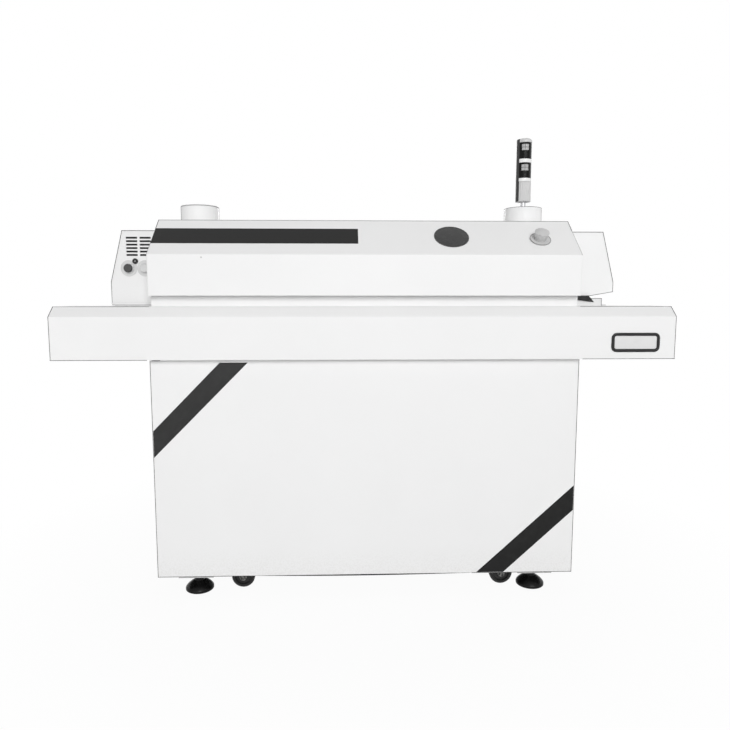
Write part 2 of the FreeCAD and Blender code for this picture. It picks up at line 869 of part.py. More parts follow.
def drive_drum():
    return belt_drum(drum_x, beam_inner + beam_sheet + gear_case_depth)


def idler_drum():
    return belt_drum(-drum_x, beam_inner - shaft_fit)


def drum_bearings():
    # square flange units on the inner walls of the beams
    units = []
    for x in (-drum_x, drum_x):
        for side in BOTH:
            wall = side * beam_inner
            flange = block(about(x, bearing_flange), span(wall, wall - side * bearing_flange_thickness),
                           about(drum_z, bearing_flange))
            boss = turned([(0, 0), (bearing_boss_radius, 0),
                           (bearing_boss_radius - bearing_boss_taper, bearing_depth), (0, bearing_depth)],
                          vec(x, wall, drum_z), "y", -side)
            low, high = span(wall + side * cut_past, wall - side * (bearing_depth + cut_past))
            bore = rod(shaft_radius + shaft_fit, vec(x, low, drum_z), "y", high - low)
            units.append(fused([flange, boss]).cut(bore))
    return units


def drive_motor():
    # worm gear case on the inside of the rear beam wall with the motor lying along the beam
    wall = beam_inner + beam_sheet
    middle = wall + motor_wall_gap + motor_radius
    case = block(about(drum_x, gear_case), (wall, wall + gear_case_depth), about(drum_z, gear_case))
    motor_end = drum_x - gear_case / 2 - motor_length
    neck = motor_radius - motor_fan_step
    motor = turned([(0, 0), (motor_radius - motor_end_chamfer, 0), (motor_radius, motor_end_chamfer),
                    (motor_radius, motor_length - motor_fan_cover), (neck, motor_length - motor_end_chamfer),
                    (neck, motor_length), (0, motor_length)], vec(motor_end, middle, drum_z), "x")
    bore = rod(shaft_radius + shaft_fit, vec(drum_x, wall - cut_past, drum_z), "y",
               gear_case_depth + 2 * cut_past)
    return [fused([case, motor]).cut(bore)]


def hood_outline():
    return [(-cabinet_y, hood_bottom), (-cabinet_y, hood_shoulder), (-cabinet_y + hood_slope_depth, hood_top),
            (cabinet_y - hood_slope_depth, hood_top), (cabinet_y, hood_shoulder), (cabinet_y, hood_bottom)]


def on_slope(solid, x, distance):
    # a shape drawn standing on Z = 0 moves to the front slope of the hood
    solid.rotate(vec(0, 0, 0), ALONG["x"], slope_angle)
    solid.translate(vec(x, -cabinet_y + distance * math.cos(math.radians(slope_angle)),
                        hood_shoulder + distance * math.sin(math.radians(slope_angle))))
    return solid


def hood_shell():
    # folded cover with sloped front and back, closed ends and a lipped opening underneath
    outline = hood_outline()
    shell = prism("x", outline, -cabinet_x, cabinet_x)
    shell = rounded(shell, hood_edge_radius, lambda point: point.z > hood_bottom + cut_past)
    hollow = prism("x", inset(outline, [hood_sheet] * 6), -hood_inner_x, hood_inner_x)
    mouth = block((-hood_inner_x, hood_inner_x), (-beam_inner, beam_inner),
                  (hood_bottom - cut_past, nozzle_bottom + cut_past))
    exhaust = rod(collar_radius - collar_wall, vec(exhaust_x, collar_y, hood_top - hood_sheet - cut_past),
                  "z", hood_sheet + 2 * cut_past)
    barrel = rod(stop_barrel_radius + button_fit, vec(0, 0, -hood_sheet - cut_past), "z",
                 hood_sheet + 2 * cut_past)
    return [cut_all(shell, [hollow, mouth, exhaust, on_slope(barrel, stop_x, stop_slope_distance)])]


def blower_x(zone):
    return (zone - (zone_count - 1) / 2) * nozzle_length


def hood_plenum():
    # air box on the nozzle plates, open below, one chamber for each zone
    box = block((-hood_inner_x, hood_inner_x), (-plenum_y, plenum_y), (nozzle_top, plenum_top))
    cuts = []
    for zone in range(zone_count):
        middle = blower_x(zone)
        cuts.append(block(about(middle, nozzle_length - plenum_sheet), (-plenum_y + plenum_sheet,
                    plenum_y - plenum_sheet), (nozzle_top - cut_past, plenum_top - plenum_sheet)))
        cuts.append(rod(blower_shaft_radius + blower_hole_gap,
                        vec(middle, 0, plenum_top - plenum_sheet - cut_past), "z",
                        plenum_sheet + 2 * cut_past))
    return [cut_all(box, cuts)]


def blower_motors():
    # flanged fan motors with cooling fins standing on the plenum
    motors = []
    for zone in range(zone_count):
        low = plenum_top + fan_motor_flange
        pitch = fan_motor_height / (2 * fan_motor_fins + 1)
        path = [(blower_shaft_radius + shaft_fit, plenum_top), (fan_motor_flange_radius, plenum_top),
                (fan_motor_flange_radius, low)]
        for fin in range(fan_motor_fins):
            foot = low + (2 * fin + 1) * pitch
            path += [(fan_motor_radius - fan_motor_fin_depth, low + 2 * fin * pitch),
                     (fan_motor_radius - fan_motor_fin_depth, foot), (fan_motor_radius, foot),
                     (fan_motor_radius, foot + pitch)]
        top = low + fan_motor_height
        bore_top = plenum_top + blower_shaft_reach + shaft_fit
        path += [(fan_motor_radius - fan_motor_fin_depth, top - pitch),
                 (fan_motor_radius - fan_motor_fin_depth - fan_motor_top_bevel, top),
                 (0, top), (0, bore_top), (blower_shaft_radius + shaft_fit, bore_top)]
        motors.append(turned(path, vec(blower_x(zone), 0, 0)))
    return motors


def blower_wheel(zone):
    # centrifugal wheel: back disc, backward swept blades, inlet ring and a shaft up into its motor
    x = blower_x(zone)
    bottom = blower_top - blower_height
    back = blower_top - blower_disc
    shaft_top = plenum_top + blower_shaft_reach
    hub = turned([(0, back - blower_hub_length), (blower_hub_radius, back - blower_hub_length),
                  (blower_hub_radius, back), (blower_radius, back), (blower_radius, blower_top),
                  (blower_shaft_radius, blower_top), (blower_shaft_radius, shaft_top), (0, shaft_top)],
                 vec(x, 0, 0))
    ring = turned([(blower_eye_radius, bottom), (blower_radius, bottom),
                   (blower_radius, bottom + blower_disc), (blower_eye_radius, bottom + blower_disc)],
                  vec(x, 0, 0))
    blades = []
    for place in range(blower_blades):
        start = 2 * math.pi * place / blower_blades
        blades.append(prism("z", blade_path(x, start), bottom + blower_disc / 2, back + blower_disc / 2))
    return [fused([hub, ring] + blades)]


def blade_path(x, start):
    # a blade runs from the eye to the rim and sweeps back by the sweep angle, as two arcs
    sweep = math.radians(blower_blade_sweep)
    reach = blower_radius - blower_blade_sheet
    inner = blower_eye_radius + blower_blade_sheet

    def point(radius, angle):
        return (x + radius * math.cos(start + angle), radius * math.sin(start + angle))

    def edge(offset):
        middle = (inner + reach) / 2
        return [point(inner, offset / inner), point(middle, sweep * blower_blade_bow + offset / middle),
                point(reach, sweep + offset / reach)]

    near, far = edge(-blower_blade_sheet / 2), edge(blower_blade_sheet / 2)
    return [near[0], (near[1], near[2]), far[2], (far[1], far[0])]


def duct_collars():
    # the open exhaust collar, and a capped one that carries the signal tower
    inner = collar_radius - collar_wall
    exhaust = turned([(inner, hood_top), (collar_radius, hood_top), (collar_radius, collar_top),
                      (inner, collar_top)], vec(exhaust_x, collar_y, 0))
    capped = turned([(inner, hood_top), (collar_radius, hood_top), (collar_radius, collar_top - collar_wall),
                     (inner, collar_top), (0, collar_top), (0, collar_top - collar_wall),
                     (inner, collar_top - collar_wall)], vec(lamp_x, collar_y, 0))
    return [exhaust, capped]


def tower_piece(path, base):
    return turned(path, vec(lamp_x, collar_y, base))


def lamp_pole():
    path = [(0, 0), (pole_flange_radius, 0), (pole_flange_radius, pole_flange), (pole_radius, pole_flange),
            (pole_radius, pole_height), (0, pole_height)]
    return [tower_piece(path, collar_top)]


def lamp_base():
    # fluted moulding: every second corner stands in by the flute depth
    corners = []
    for place in range(2 * lamp_flutes):
        angle = math.pi * place / lamp_flutes
        radius = lamp_radius - lamp_flute_depth * (place % 2)
        corners.append((lamp_x + radius * math.cos(angle), collar_y + radius * math.sin(angle)))
    return [prism("z", corners, lamp_base_z, lower_ring_z)]


def lens(base, height):
    # moulded lens with shallow ring grooves
    outer = lamp_radius - lamp_lens_inset
    pitch = height / lamp_lens_rings
    path = [(0, 0)]
    for ring in range(lamp_lens_rings):
        low = ring * pitch
        path += [(outer - lamp_lens_inset, low), (outer, low + pitch / 4), (outer, low + 3 * pitch / 4)]
    path += [(outer - lamp_lens_inset, height), (0, height)]
    return tower_piece(path, base)


def lamp_lenses():
    return [lens(lower_lens_z, lamp_lower_lens), lens(upper_lens_z, lamp_upper_lens)]


def lamp_caps():
    # two spacer rings and the domed top
    rings = []
    for base, height in ((lower_ring_z, lamp_lower_ring), (upper_ring_z, lamp_upper_ring)):
        rings.append(tower_piece([(0, 0), (lamp_radius, 0), (lamp_radius, height), (0, height)], base))
    dome = tower_piece([(0, 0), (lamp_radius, 0), (lamp_radius, lamp_cap_edge),
                        cap(lamp_radius, lamp_cap_edge, lamp_cap_height)], lamp_cap_z)
    return rings + [dome]


def estop_collar():
    # round legend plate with the bezel of the stop button
    bore = stop_barrel_radius + button_fit
    path = [(bore, 0), (stop_plate_radius, 0), (stop_plate_radius, stop_plate_thickness),
            (stop_bezel_radius, stop_plate_thickness), (stop_bezel_radius, stop_bezel_height),
            (bore, stop_bezel_height)]
    return [on_slope(turned(path, vec(0, 0, 0)), stop_x, stop_slope_distance)]


def estop_stem():
    # barrel that slides in the bezel and the spindle that the head turns on
    head_middle = stop_head_base + stop_head_height / 2
    path = [(0, -stop_barrel_depth), (stop_barrel_radius, -stop_barrel_depth),
            (stop_barrel_radius, stop_head_base), (stop_spindle_radius, stop_head_base),
            (stop_spindle_radius, head_middle), (0, head_middle)]
    return [on_slope(turned(path, vec(0, 0, 0)), stop_x, stop_slope_distance)]


def estop_head():
    # mushroom head with finger grips, bored from below for the spindle
    head_top = stop_head_base + stop_head_height
    bore = stop_spindle_radius + pivot_fit
    bore_top = stop_head_base + stop_head_height / 2 + running_gap
    path = [(bore, stop_head_base), (stop_head_radius - stop_head_foot, stop_head_base),
            (stop_head_radius, stop_head_base + stop_head_flare),
            (stop_head_radius, head_top - stop_head_crown),
            cap(stop_head_radius, head_top - stop_head_crown, head_top),
            (0, bore_top), (bore, bore_top)]
    head = turned(path, vec(0, 0, 0))
    grips = []
    for place in range(stop_grip_count):
        angle = 2 * math.pi * place / stop_grip_count
        grips.append(rod(stop_grip_radius, vec(stop_head_radius * math.cos(angle),
                                               stop_head_radius * math.sin(angle), 0), "z", 2 * head_top))
    return [on_slope(cut_all(head, grips), stop_x, stop_slope_distance)]


def tunnel_shell(side, skirt):
    # cover beside the hood, open towards it and underneath; skirt is its lower edge from the hood out
    outer = [(tunnel_end, tunnel_bend), (tunnel_end - tunnel_taper, tunnel_top), (tunnel_start, tunnel_top)]
    box = prism("y", flipped(skirt + outer, side), -tunnel_y, tunnel_y)
    box = rounded(box, tunnel_edge_radius,
                  lambda point: abs(point.x) > tunnel_start + cut_past and point.z > tunnel_bend - cut_past)
    below = beam_top - cut_past
    inner = inset([(tunnel_start, below), (tunnel_end, below)] + outer,
                  [0] + 3 * [tunnel_sheet] + [-cut_past])
    hollow = prism("y", flipped(inner, side), -tunnel_y + tunnel_sheet, tunnel_y - tunnel_sheet)
    mouth = block(span(side * (tunnel_end - tunnel_sheet - cut_past), side * (tunnel_end + cut_past)),
                  about(0, 2 * (tunnel_y - tunnel_mouth_side)), (below, mouth_top))
    return box.cut(hollow).cut(mouth)


def entry_tunnel():
    # stands on its sills; vents and push buttons are in its front wall
    base = beam_top + entry_sill_height
    shell = tunnel_shell(-1, [(tunnel_start, base), (tunnel_end, base)])
    front = span(-tunnel_y - cut_past, -tunnel_y + tunnel_sheet + cut_past)
    cuts = []
    for column in range(2):
        for row in range(vent_rows):
            z = tunnel_top - vent_top_drop - row * vent_pitch
            x = vent_first_x + column * vent_column_pitch
            cuts.append(block(about(x, vent_length), front, about(z, vent_height)))
    for x in (button_left_x, button_right_x):
        cuts.append(rod(button_barrel_radius, vec(x, front[0], button_z), "y", front[1] - front[0]))
    return [cut_all(shell, cuts)]


def exit_tunnel():
    # its lower edge rises towards the end
    return [tunnel_shell(1, [(tunnel_start, exit_base), (cabinet_x + exit_skirt_level, exit_base),
                             (tunnel_end, exit_base + exit_skirt_tilt)])]


def tunnel_curtains():
    # rubber strip curtains: on the end wall of the entry tunnel, and between the brackets of the exit tunnel
    mouth_half = tunnel_y - tunnel_mouth_side - curtain_edge_gap
    sill_half = beam_inner - curtain_edge_gap
    low = beam_top + curtain_rise
    curtains = []
    for side, reach, half, band_half, band_bottom in (
            (-1, tunnel_end - tunnel_sheet, mouth_half, mouth_half, mouth_top),
            (1, tunnel_start + exit_curtain_inset, sill_half, bracket_y - exit_bracket_sheet, exit_base)):
        back = side * (reach - curtain_sheet)
        wall = side * reach
        strips = block(span(wall, back), (-half, half), (low, band_bottom))
        band = block(span(wall, back), (-band_half, band_half), (band_bottom, band_bottom + curtain_lap))
        slits = []
        for strip in range(1, curtain_strips):
            y = -half + 2 * half * strip / curtain_strips
            slits.append(block(span(wall + side * cut_past, back - side * cut_past),
                               about(y, curtain_slit), (low - cut_past, band_bottom)))
        curtains.append(cut_all(fused([strips, band]), slits))
    return curtains


def legend_rings():
    # legend plates with the raised bezels of the push buttons, notched round the buzzer
    bore = button_radius + button_head_gap
    notch = rod(buzzer_radius + buzzer_gap, vec(buzzer_x, -tunnel_y - legend_sheet - cut_past, buzzer_z), "y",
                legend_sheet + 2 * cut_past)
    path = [(bore, 0), (legend_radius, 0), (legend_radius, legend_sheet), (bezel_radius, legend_sheet),
            (bezel_radius, bezel_height), (bore, bezel_height)]
    rings = []
    for x in (button_left_x, button_right_x):
        rings.append(turned(path, vec(x, -tunnel_y, button_z), "y", -1).cut(notch))
    return rings


def push_button(x):
    # domed head inside the bezel and a barrel through the panel
    front = bezel_height + button_proud
    back = front - button_head_height
    barrel = button_barrel_radius - button_fit
    path = [(0, -button_barrel_depth), (barrel, -button_barrel_depth), (barrel, back), (button_radius, back),
            (button_radius, front - button_bevel), (button_radius - button_bevel, front - button_crown),
            (0, front)]
    return [turned(path, vec(x, -tunnel_y, button_z), "y", -1)]


def panel_buzzer():
    path = [(0, 0), (buzzer_radius, 0), (buzzer_radius, buzzer_proud - buzzer_bevel),
            (buzzer_radius - buzzer_bevel, buzzer_proud), (buzzer_mouth_radius, buzzer_proud),
            (buzzer_mouth_radius, buzzer_proud - buzzer_mouth_depth), (0, buzzer_proud - buzzer_mouth_depth)]
    return [turned(path, vec(buzzer_x, -tunnel_y, buzzer_z), "y", -1)]


def hinge_places():
    return [(place - (hinge_count - 1) / 2) * hinge_pitch for place in range(hinge_count)]


def knuckle(low, high, bore):
    ring = rod(knuckle_radius, vec(low, hinge_y, hinge_z), "x", high - low)
    hole = rod(bore, vec(low - cut_past, hinge_y, hinge_z), "x", high - low + 2 * cut_past)
    return ring, hole


def hinge_base_leaves():
    # brackets on the rear beam, two outer knuckles each
    leaves = []
    third = hinge_length / 3
    arm_start = hinge_foot_end - hinge_leaf_sheet
    for middle in hinge_places():
        foot = block(about(middle, hinge_length), (hinge_foot_end - hinge_foot_width, hinge_foot_end),
                     (beam_top, beam_top + hinge_leaf_sheet))
        pieces = [foot]
        holes = []
        for side in BOTH:
            low, high = span(middle + side * (third / 2 + knuckle_gap), middle + side * hinge_length / 2)
            arm = prism("x", [(arm_start, beam_top), (hinge_foot_end, beam_top),
                              (hinge_y, hinge_z - hinge_arm_end), (hinge_y, hinge_z),
                              (arm_start, beam_top + hinge_arm_root)], low, high)
            ring, hole = knuckle(low, high, hinge_pin_radius)
            pieces += [arm, ring]
            holes.append(hole)
        leaves.append(cut_all(fused(pieces), holes))
    return leaves


def hinge_hood_leaves():
    # plates on the rear face of the hood, one middle knuckle each
    leaves = []
    third = hinge_length / 3
    plate_low = hood_bottom + hinge_leaf_clear
    for middle in hinge_places():
        plate = block(about(middle, hinge_length), (cabinet_y, cabinet_y + hinge_leaf_sheet),
                      (plate_low, plate_low + hinge_leaf_height))
        low, high = about(middle, third - knuckle_gap)
        arm = prism("x", [(cabinet_y, plate_low), (cabinet_y + hinge_leaf_sheet, plate_low + hinge_arm_root),
                          (hinge_y + hinge_arm_end, hinge_z), (hinge_y, hinge_z)], low, high)
        ring, hole = knuckle(low, high, hinge_pin_radius + hinge_pin_fit)
        leaves.append(fused([plate, arm, ring]).cut(hole))
    return leaves


def hinge_pins():
    pins = []
    head = hinge_pin_head_radius
    for middle in hinge_places():
        low, high = about(middle, hinge_length)
        path = [(0, -hinge_pin_head), (head, -hinge_pin_head), (head, 0), (hinge_pin_radius, 0),
                (hinge_pin_radius, high - low), (0, high - low)]
        pins.append(turned(path, vec(low, hinge_y, hinge_z), "x"))
    return pins


def control_box():
    # electronics housing on the floor pan with a lipped lid and a finned heat sink on its end
    low = rail_top + pan_sheet
    high = low + control_height
    depth = about(0, control_depth)
    body = block(about(control_x, control_length), depth, (low, high - control_lid))
    lid = block(about(control_x, control_length + 2 * control_lid_lip),
                about(0, control_depth + 2 * control_lid_lip), (high - control_lid, high))
    end = control_x + control_length / 2
    pitch = control_depth / control_fins
    fins = []
    for fin in range(control_fins):
        y = depth[0] + (fin + 0.5) * pitch
        fins.append(block((end, end + control_fin_depth), about(y, control_fin_sheet),
                          (low, high - control_lid)))
    hollow = block(about(control_x, control_length - 2 * control_sheet),
                   about(0, control_depth - 2 * control_sheet), (low + control_sheet, high))
    cap_hollow = block(about(control_x, control_length), depth, (low, high - control_sheet))
    return [fused([body] + fins).cut(hollow), lid.cut(cap_hollow)]


def cable_gland():
    # threaded gland through the rear panel with its clamp nut
    base = vec(gland_x, frame_y, gland_height)
    face = panel_return
    path = [(gland_bore_radius, 0), (gland_radius, 0), (gland_radius, face),
            (gland_nut_radius, face), (gland_nut_radius, face + gland_nut_height),
            (gland_radius, face + gland_nut_height), (gland_bore_radius + gland_lip, face + gland_reach),
            (gland_bore_radius, face + gland_reach)]
    return [turned(path, base, "y")]


CORNER_NAMES = {(-1, -1): "front_left", (1, -1): "front_right", (-1, 1): "rear_left", (1, 1): "rear_right"}

parts = {
    "base_frame": base_frame(),
    "floor_pan": floor_pan(),
    "top_deck": top_deck(),
    "front_panel": front_panel(),
    "rear_panel": rear_panel(),
    "side_panels": side_panels(),
    "caster_plates": caster_plates(),
    "front_beam": beam(-1),
    "rear_beam": beam(1),
    "chamber_rim": chamber_rim(),
    "hood_gasket": hood_gasket(),
    "tunnel_sills": tunnel_sills(),
    "lower_chamber": lower_chamber(),
    "lower_heaters": lower_heaters(),
    "lower_baffles": lower_baffles(),
    "belt_slides": belt_slides(),
    "mesh_belt": mesh_belt(),
    "drive_drum": drive_drum(),
    "idler_drum": idler_drum(),
    "drum_bearings": drum_bearings(),
    "drive_motor": drive_motor(),
    "hood_shell": hood_shell(),
    "hood_plenum": hood_plenum(),
    "nozzle_plates": nozzle_plates(),
    "blower_motors": blower_motors(),
    "duct_collars": duct_collars(),
    "lamp_pole": lamp_pole(),
    "lamp_base": lamp_base(),
    "lamp_lenses": lamp_lenses(),
    "lamp_caps": lamp_caps(),
    "estop_collar": estop_collar(),
    "estop_stem": estop_stem(),
    "estop_head": estop_head(),
    "entry_tunnel": entry_tunnel(),
    "exit_tunnel": exit_tunnel(),
    "tunnel_curtains": tunnel_curtains(),
    "legend_rings": legend_rings(),
    "button_left": push_button(button_left_x),
    "button_right": push_button(button_right_x),
    "panel_buzzer": panel_buzzer(),
    "hinge_base_leaves": hinge_base_leaves(),
    "hinge_hood_leaves": hinge_hood_leaves(),
    "hinge_pins": hinge_pins(),
    "control_box": control_box(),
    "cable_gland": cable_gland(),
}
for zone_number in range(zone_count):
    parts[f"blower_wheel_{zone_number + 1}"] = blower_wheel(zone_number)
for corner_sides, corner_name in CORNER_NAMES.items():
    parts[f"levelling_foot_{corner_name}"] = levelling_foot(*corner_sides)
    parts[f"caster_fork_{corner_name}"] = caster_fork(*corner_sides)
    parts[f"caster_wheel_{corner_name}"] = caster_wheel(*corner_sides)

os.makedirs("parts", exist_ok=True)
for node, solids in parts.items():
    shape = solids[0] if len(solids) == 1 else Part.makeCompound(solids)
    shape.exportStep(f"parts/{node}.step")
print(len(parts), "nodes written")
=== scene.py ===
import json
import math

import bmesh
import bpy
import numpy as np
from mathutils import Matrix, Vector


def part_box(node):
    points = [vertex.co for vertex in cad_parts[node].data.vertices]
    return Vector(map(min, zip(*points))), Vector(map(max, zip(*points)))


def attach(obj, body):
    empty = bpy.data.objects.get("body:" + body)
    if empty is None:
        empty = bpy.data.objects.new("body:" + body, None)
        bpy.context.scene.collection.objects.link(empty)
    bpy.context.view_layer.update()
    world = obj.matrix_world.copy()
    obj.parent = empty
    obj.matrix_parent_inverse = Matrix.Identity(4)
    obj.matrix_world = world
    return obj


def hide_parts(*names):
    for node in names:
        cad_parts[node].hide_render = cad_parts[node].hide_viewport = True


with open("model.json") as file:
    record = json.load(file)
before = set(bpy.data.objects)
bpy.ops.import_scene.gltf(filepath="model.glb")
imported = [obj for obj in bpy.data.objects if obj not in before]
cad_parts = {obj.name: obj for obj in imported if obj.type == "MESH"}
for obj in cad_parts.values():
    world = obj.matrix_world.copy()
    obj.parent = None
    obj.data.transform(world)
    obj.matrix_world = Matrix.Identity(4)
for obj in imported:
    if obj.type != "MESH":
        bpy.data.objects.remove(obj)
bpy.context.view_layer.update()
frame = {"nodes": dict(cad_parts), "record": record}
nodes = frame["nodes"]
print("frame loaded:", len(nodes), "nodes")


# Surfaces: points, four-cornered faces and three-cornered faces, worked out as whole arrays

noTriangles = np.zeros((0, 3), int)  # for a shape made of four-cornered faces alone


def unit(vectors):
    return vectors / np.linalg.norm(vectors, axis=-1, keepdims=True)


def fullTurn(steps):
    return np.linspace(0, 2 * np.pi, steps, endpoint=False)


def middle(low, high):
    return [(a + b) / 2 for a, b in zip(low, high)]


# coordinates in arrays of any fitting shapes, spread to one grid of points
def pointGrid(x, y, z):
    return np.stack(np.broadcast_arrays(x, y, z), -1)


def rectangle(width, height):
    return np.array([(-1, -1), (1, -1), (1, 1), (-1, 1)]) * (width / 2, height / 2)


def circle(radius, sides, place=(0, 0)):
    angle = fullTurn(sides)
    return radius * np.column_stack([np.cos(angle), np.sin(angle)]) + place


# from a rim almost to the axis: height falls with the square of the radius
def domeProfile(radius, foot, crown, inner, steps):
    share = np.linspace(1, inner, steps)
    return np.column_stack([radius * share, foot + (crown - foot) * (1 - share ** 2)])


# neighbours on a grid of rows and columns make faces; a wrapped direction closes on itself
def gridQuads(rows, columns, wrapRows=False, wrapColumns=False):
    row = np.arange(rows if wrapRows else rows - 1)[:, None]
    column = np.arange(columns if wrapColumns else columns - 1)[None, :]
    nextRow = (row + 1) % rows
    nextColumn = (column + 1) % columns
    corners = (row * columns + column, row * columns + nextColumn,
               nextRow * columns + nextColumn, nextRow * columns + column)
    return np.stack(np.broadcast_arrays(*corners), -1).reshape(-1, 4)


def sheet(points):
    rows, columns, _ = points.shape
    return points.reshape(-1, 3), gridQuads(rows, columns), noTriangles


# a closed outline carried through a row of rings; a fan closes each end unless the row closes on itself
def loft(rings, ringsClose=False):
    rows, columns, _ = rings.shape
    quads = gridQuads(rows, columns, ringsClose, True)
    points = rings.reshape(-1, 3)
    if ringsClose:
        return points, quads, noTriangles
    around = np.arange(columns)
    after = (around + 1) % columns
    lastRing = (rows - 1) * columns
    fanStart = np.stack([after, around, np.full(columns, len(points))], -1)
    fanEnd = np.stack([lastRing + around, lastRing + after, np.full(columns, len(points) + 1)], -1)
    return np.vstack([points, rings[[0, -1]].mean(1)]), quads, np.vstack([fanStart, fanEnd])


# a profile of radius and height turned about the third axis
def lathe(profile, sides, profileCloses=False):
    radius, height = np.asarray(profile, float).T[:, :, None]
    angle = fullTurn(sides)
    return loft(pointGrid(radius * np.cos(angle), radius * np.sin(angle), height), profileCloses)


# each corner gives way to an arc that touches both of its sides; an open path keeps its two ends
def roundCorners(corners, radius, steps=5, closes=True):
    corners = np.asarray(corners, float)
    back = unit(np.roll(corners, 1, 0) - corners)
    ahead = unit(np.roll(corners, -1, 0) - corners)
    half = np.arccos(np.clip((back * ahead).sum(1), -1, 1)) / 2
    reach = (radius / np.tan(half))[:, None]
    centre = corners + unit(back + ahead) * (radius / np.sin(half))[:, None]
    start, end = corners + back * reach - centre, corners + ahead * reach - centre
    share = np.linspace(0, 1, steps)[None, :, None]
    sweep = (np.pi - 2 * half)[:, None, None]
    arc = np.sin((1 - share) * sweep) * start[:, None] + np.sin(share * sweep) * end[:, None]
    path = (centre[:, None] + arc / np.sin(sweep)).reshape(-1, corners.shape[1])
    return path if closes else np.vstack([corners[:1], path[steps:-steps], corners[-1:]])


# every side of a convex outline, listed anticlockwise, moves inwards by the distance
def insetOutline(corners, distance):
    corners = np.asarray(corners, float)
    ahead = unit(np.roll(corners, -1, 0) - corners)
    back = np.roll(ahead, 1, 0)
    cross = back[:, 0] * ahead[:, 1] - back[:, 1] * ahead[:, 0]
    return corners + distance * (ahead - back) / cross[:, None]


# flat outlines laid at their heights, one ring each
def stacked(outlines, heights):
    return np.array([np.column_stack([outline, np.full(len(outline), height)])
                     for outline, height in zip(outlines, heights)])


# a flat outline raised to a thickness, its top edge rounded over a quarter turn
def slab(corners, cornerRadius, thickness, edge, steps=5):
    turn = np.linspace(0, np.pi / 2, steps)
    insets = np.concatenate([[0], edge * (1 - np.cos(turn))])
    heights = np.concatenate([[0], thickness - edge + edge * np.sin(turn)])
    outlines = [roundCorners(insetOutline(corners, inset), cornerRadius - inset) for inset in insets]
    return loft(stacked(outlines, heights))


def flatBar(width, height, corner, thickness, edge):
    return slab(rectangle(width, height), corner, thickness, edge)


# a closed section of (inwards, height) pairs carried round a rounded rectangle
def moulding(width, height, radius, section):
    insets, levels = np.transpose(section)
    outlines = [roundCorners(rectangle(width - 2 * inset, height - 2 * inset), radius - inset)
                for inset in insets]
    return loft(stacked(outlines, levels), True)


# straight wires between two lists of points, each a prism with as many sides as asked
def wires(starts, ends, radius, sides):
    along = unit(ends - starts)
    mostlyY = np.abs(along[:, 1:2]) > 0.9
    across = unit(np.cross(along, np.where(mostlyY, (1.0, 0, 0), (0, 1.0, 0))))
    other = np.cross(along, across)
    angle = fullTurn(sides)[None, :, None]
    ring = radius * (np.cos(angle) * across[:, None] + np.sin(angle) * other[:, None])
    points = np.stack([starts[:, None] + ring, ends[:, None] + ring], 1).reshape(-1, 3)
    place = np.arange(sides)
    after = (place + 1) % sides
    side = np.stack([place, after, after + sides, place + sides], -1)
    fan = np.stack([np.zeros(sides - 2, int), place[2:], place[1:-1]], -1)
    caps = np.vstack([fan, fan[:, ::-1] + sides])
    offsets = (np.arange(len(starts)) * 2 * sides)[:, None, None]
    return points, (offsets + side).reshape(-1, 4), (offsets + caps).reshape(-1, 3)


# a round dark line of painted shade along each path; every run reaches the line's radius past its two corners
def shadeLines(paths, radius, sides=8):
    starts = np.vstack([np.array(path, float)[:-1] for path in paths])
    ends = np.vstack([np.array(path, float)[1:] for path in paths])
    reach = unit(ends - starts) * radius
    return wires(starts - reach, ends + reach, radius, sides)


# one shape set down at many places in the same frame of axes
def repeat(shape, places, axes):
    points, quads, tris = shape
    places = np.asarray(places, float)
    offsets = (np.arange(len(places)) * len(points))[:, None, None]
    return ((places[:, None] + points @ np.asarray(axes, float)).reshape(-1, 3),
            (offsets + quads).reshape(-1, 4), (offsets + tris).reshape(-1, 3))


def put(shape, place, axes):
    return repeat(shape, [place], axes)


def join(*shapes):
    starts = np.cumsum([0] + [len(shape[0]) for shape in shapes[:-1]])
    return (np.vstack([shape[0] for shape in shapes]),
            np.vstack([shape[1] + start for shape, start in zip(shapes, starts)]),
            np.vstack([shape[2] + start for shape, start in zip(shapes, starts)]))


# axes of a face: along it, up it and out of it
frontFace = np.array([(1, 0, 0), (0, 0, 1), (0, -1, 0)], float)
rearFace = np.array([(-1, 0, 0), (0, 0, 1), (0, 1, 0)], float)
leftFace = np.array([(0, -1, 0), (0, 0, 1), (-1, 0, 0)], float)
rightFace = np.array([(0, 1, 0), (0, 0, 1), (1, 0, 0)], float)
topFace = np.eye(3)


# a flat bar that fills its spans of x and z on an upright face
def uprightBar(y, face, x, z, **bar):
    (left, right), (bottom, top) = x, z
    place = ((left + right) / 2, y, (bottom + top) / 2)
    return put(flatBar(right - left, top - bottom, **bar), place, face)


# folds flatter than smoothTo degrees are shaded smooth; without a finish of its own a piece takes its slot's
def addPiece(name, shape, body, slotName, finish=None, smoothTo=35):
    points, quads, tris = shape
    mesh = bpy.data.meshes.new(name)
    mesh.from_pydata(points.tolist(), [], quads.tolist() + tris.tolist())
    work = bmesh.new()
    work.from_mesh(mesh)
    bmesh.ops.recalc_face_normals(work, faces=work.faces)
    work.to_mesh(mesh)
    work.free()
    mesh.polygons.foreach_set("use_smooth", np.ones(len(mesh.polygons), bool))
    mesh.set_sharp_from_angle(angle=math.radians(smoothTo))
    mesh.materials.append(finish or finishes[slotName])
    made = bpy.data.objects.new(name, mesh)
    bpy.context.scene.collection.objects.link(made)
    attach(made, body)
    return made


def thicken(made, thickness):
    wall = made.modifiers.new("wall", "SOLIDIFY")
    wall.thickness = thickness
    wall.offset = 0


# Camera: the photograph's own viewpoint, in metres and degrees

viewpoint = {"place": (-0.06755, -2.23067, 0.95382), "down": 6.375, "right": 1.853,
             "focalPixels": 622.341, "framePixels": 730, "sensor": 36.0, "clipEnd": 100}


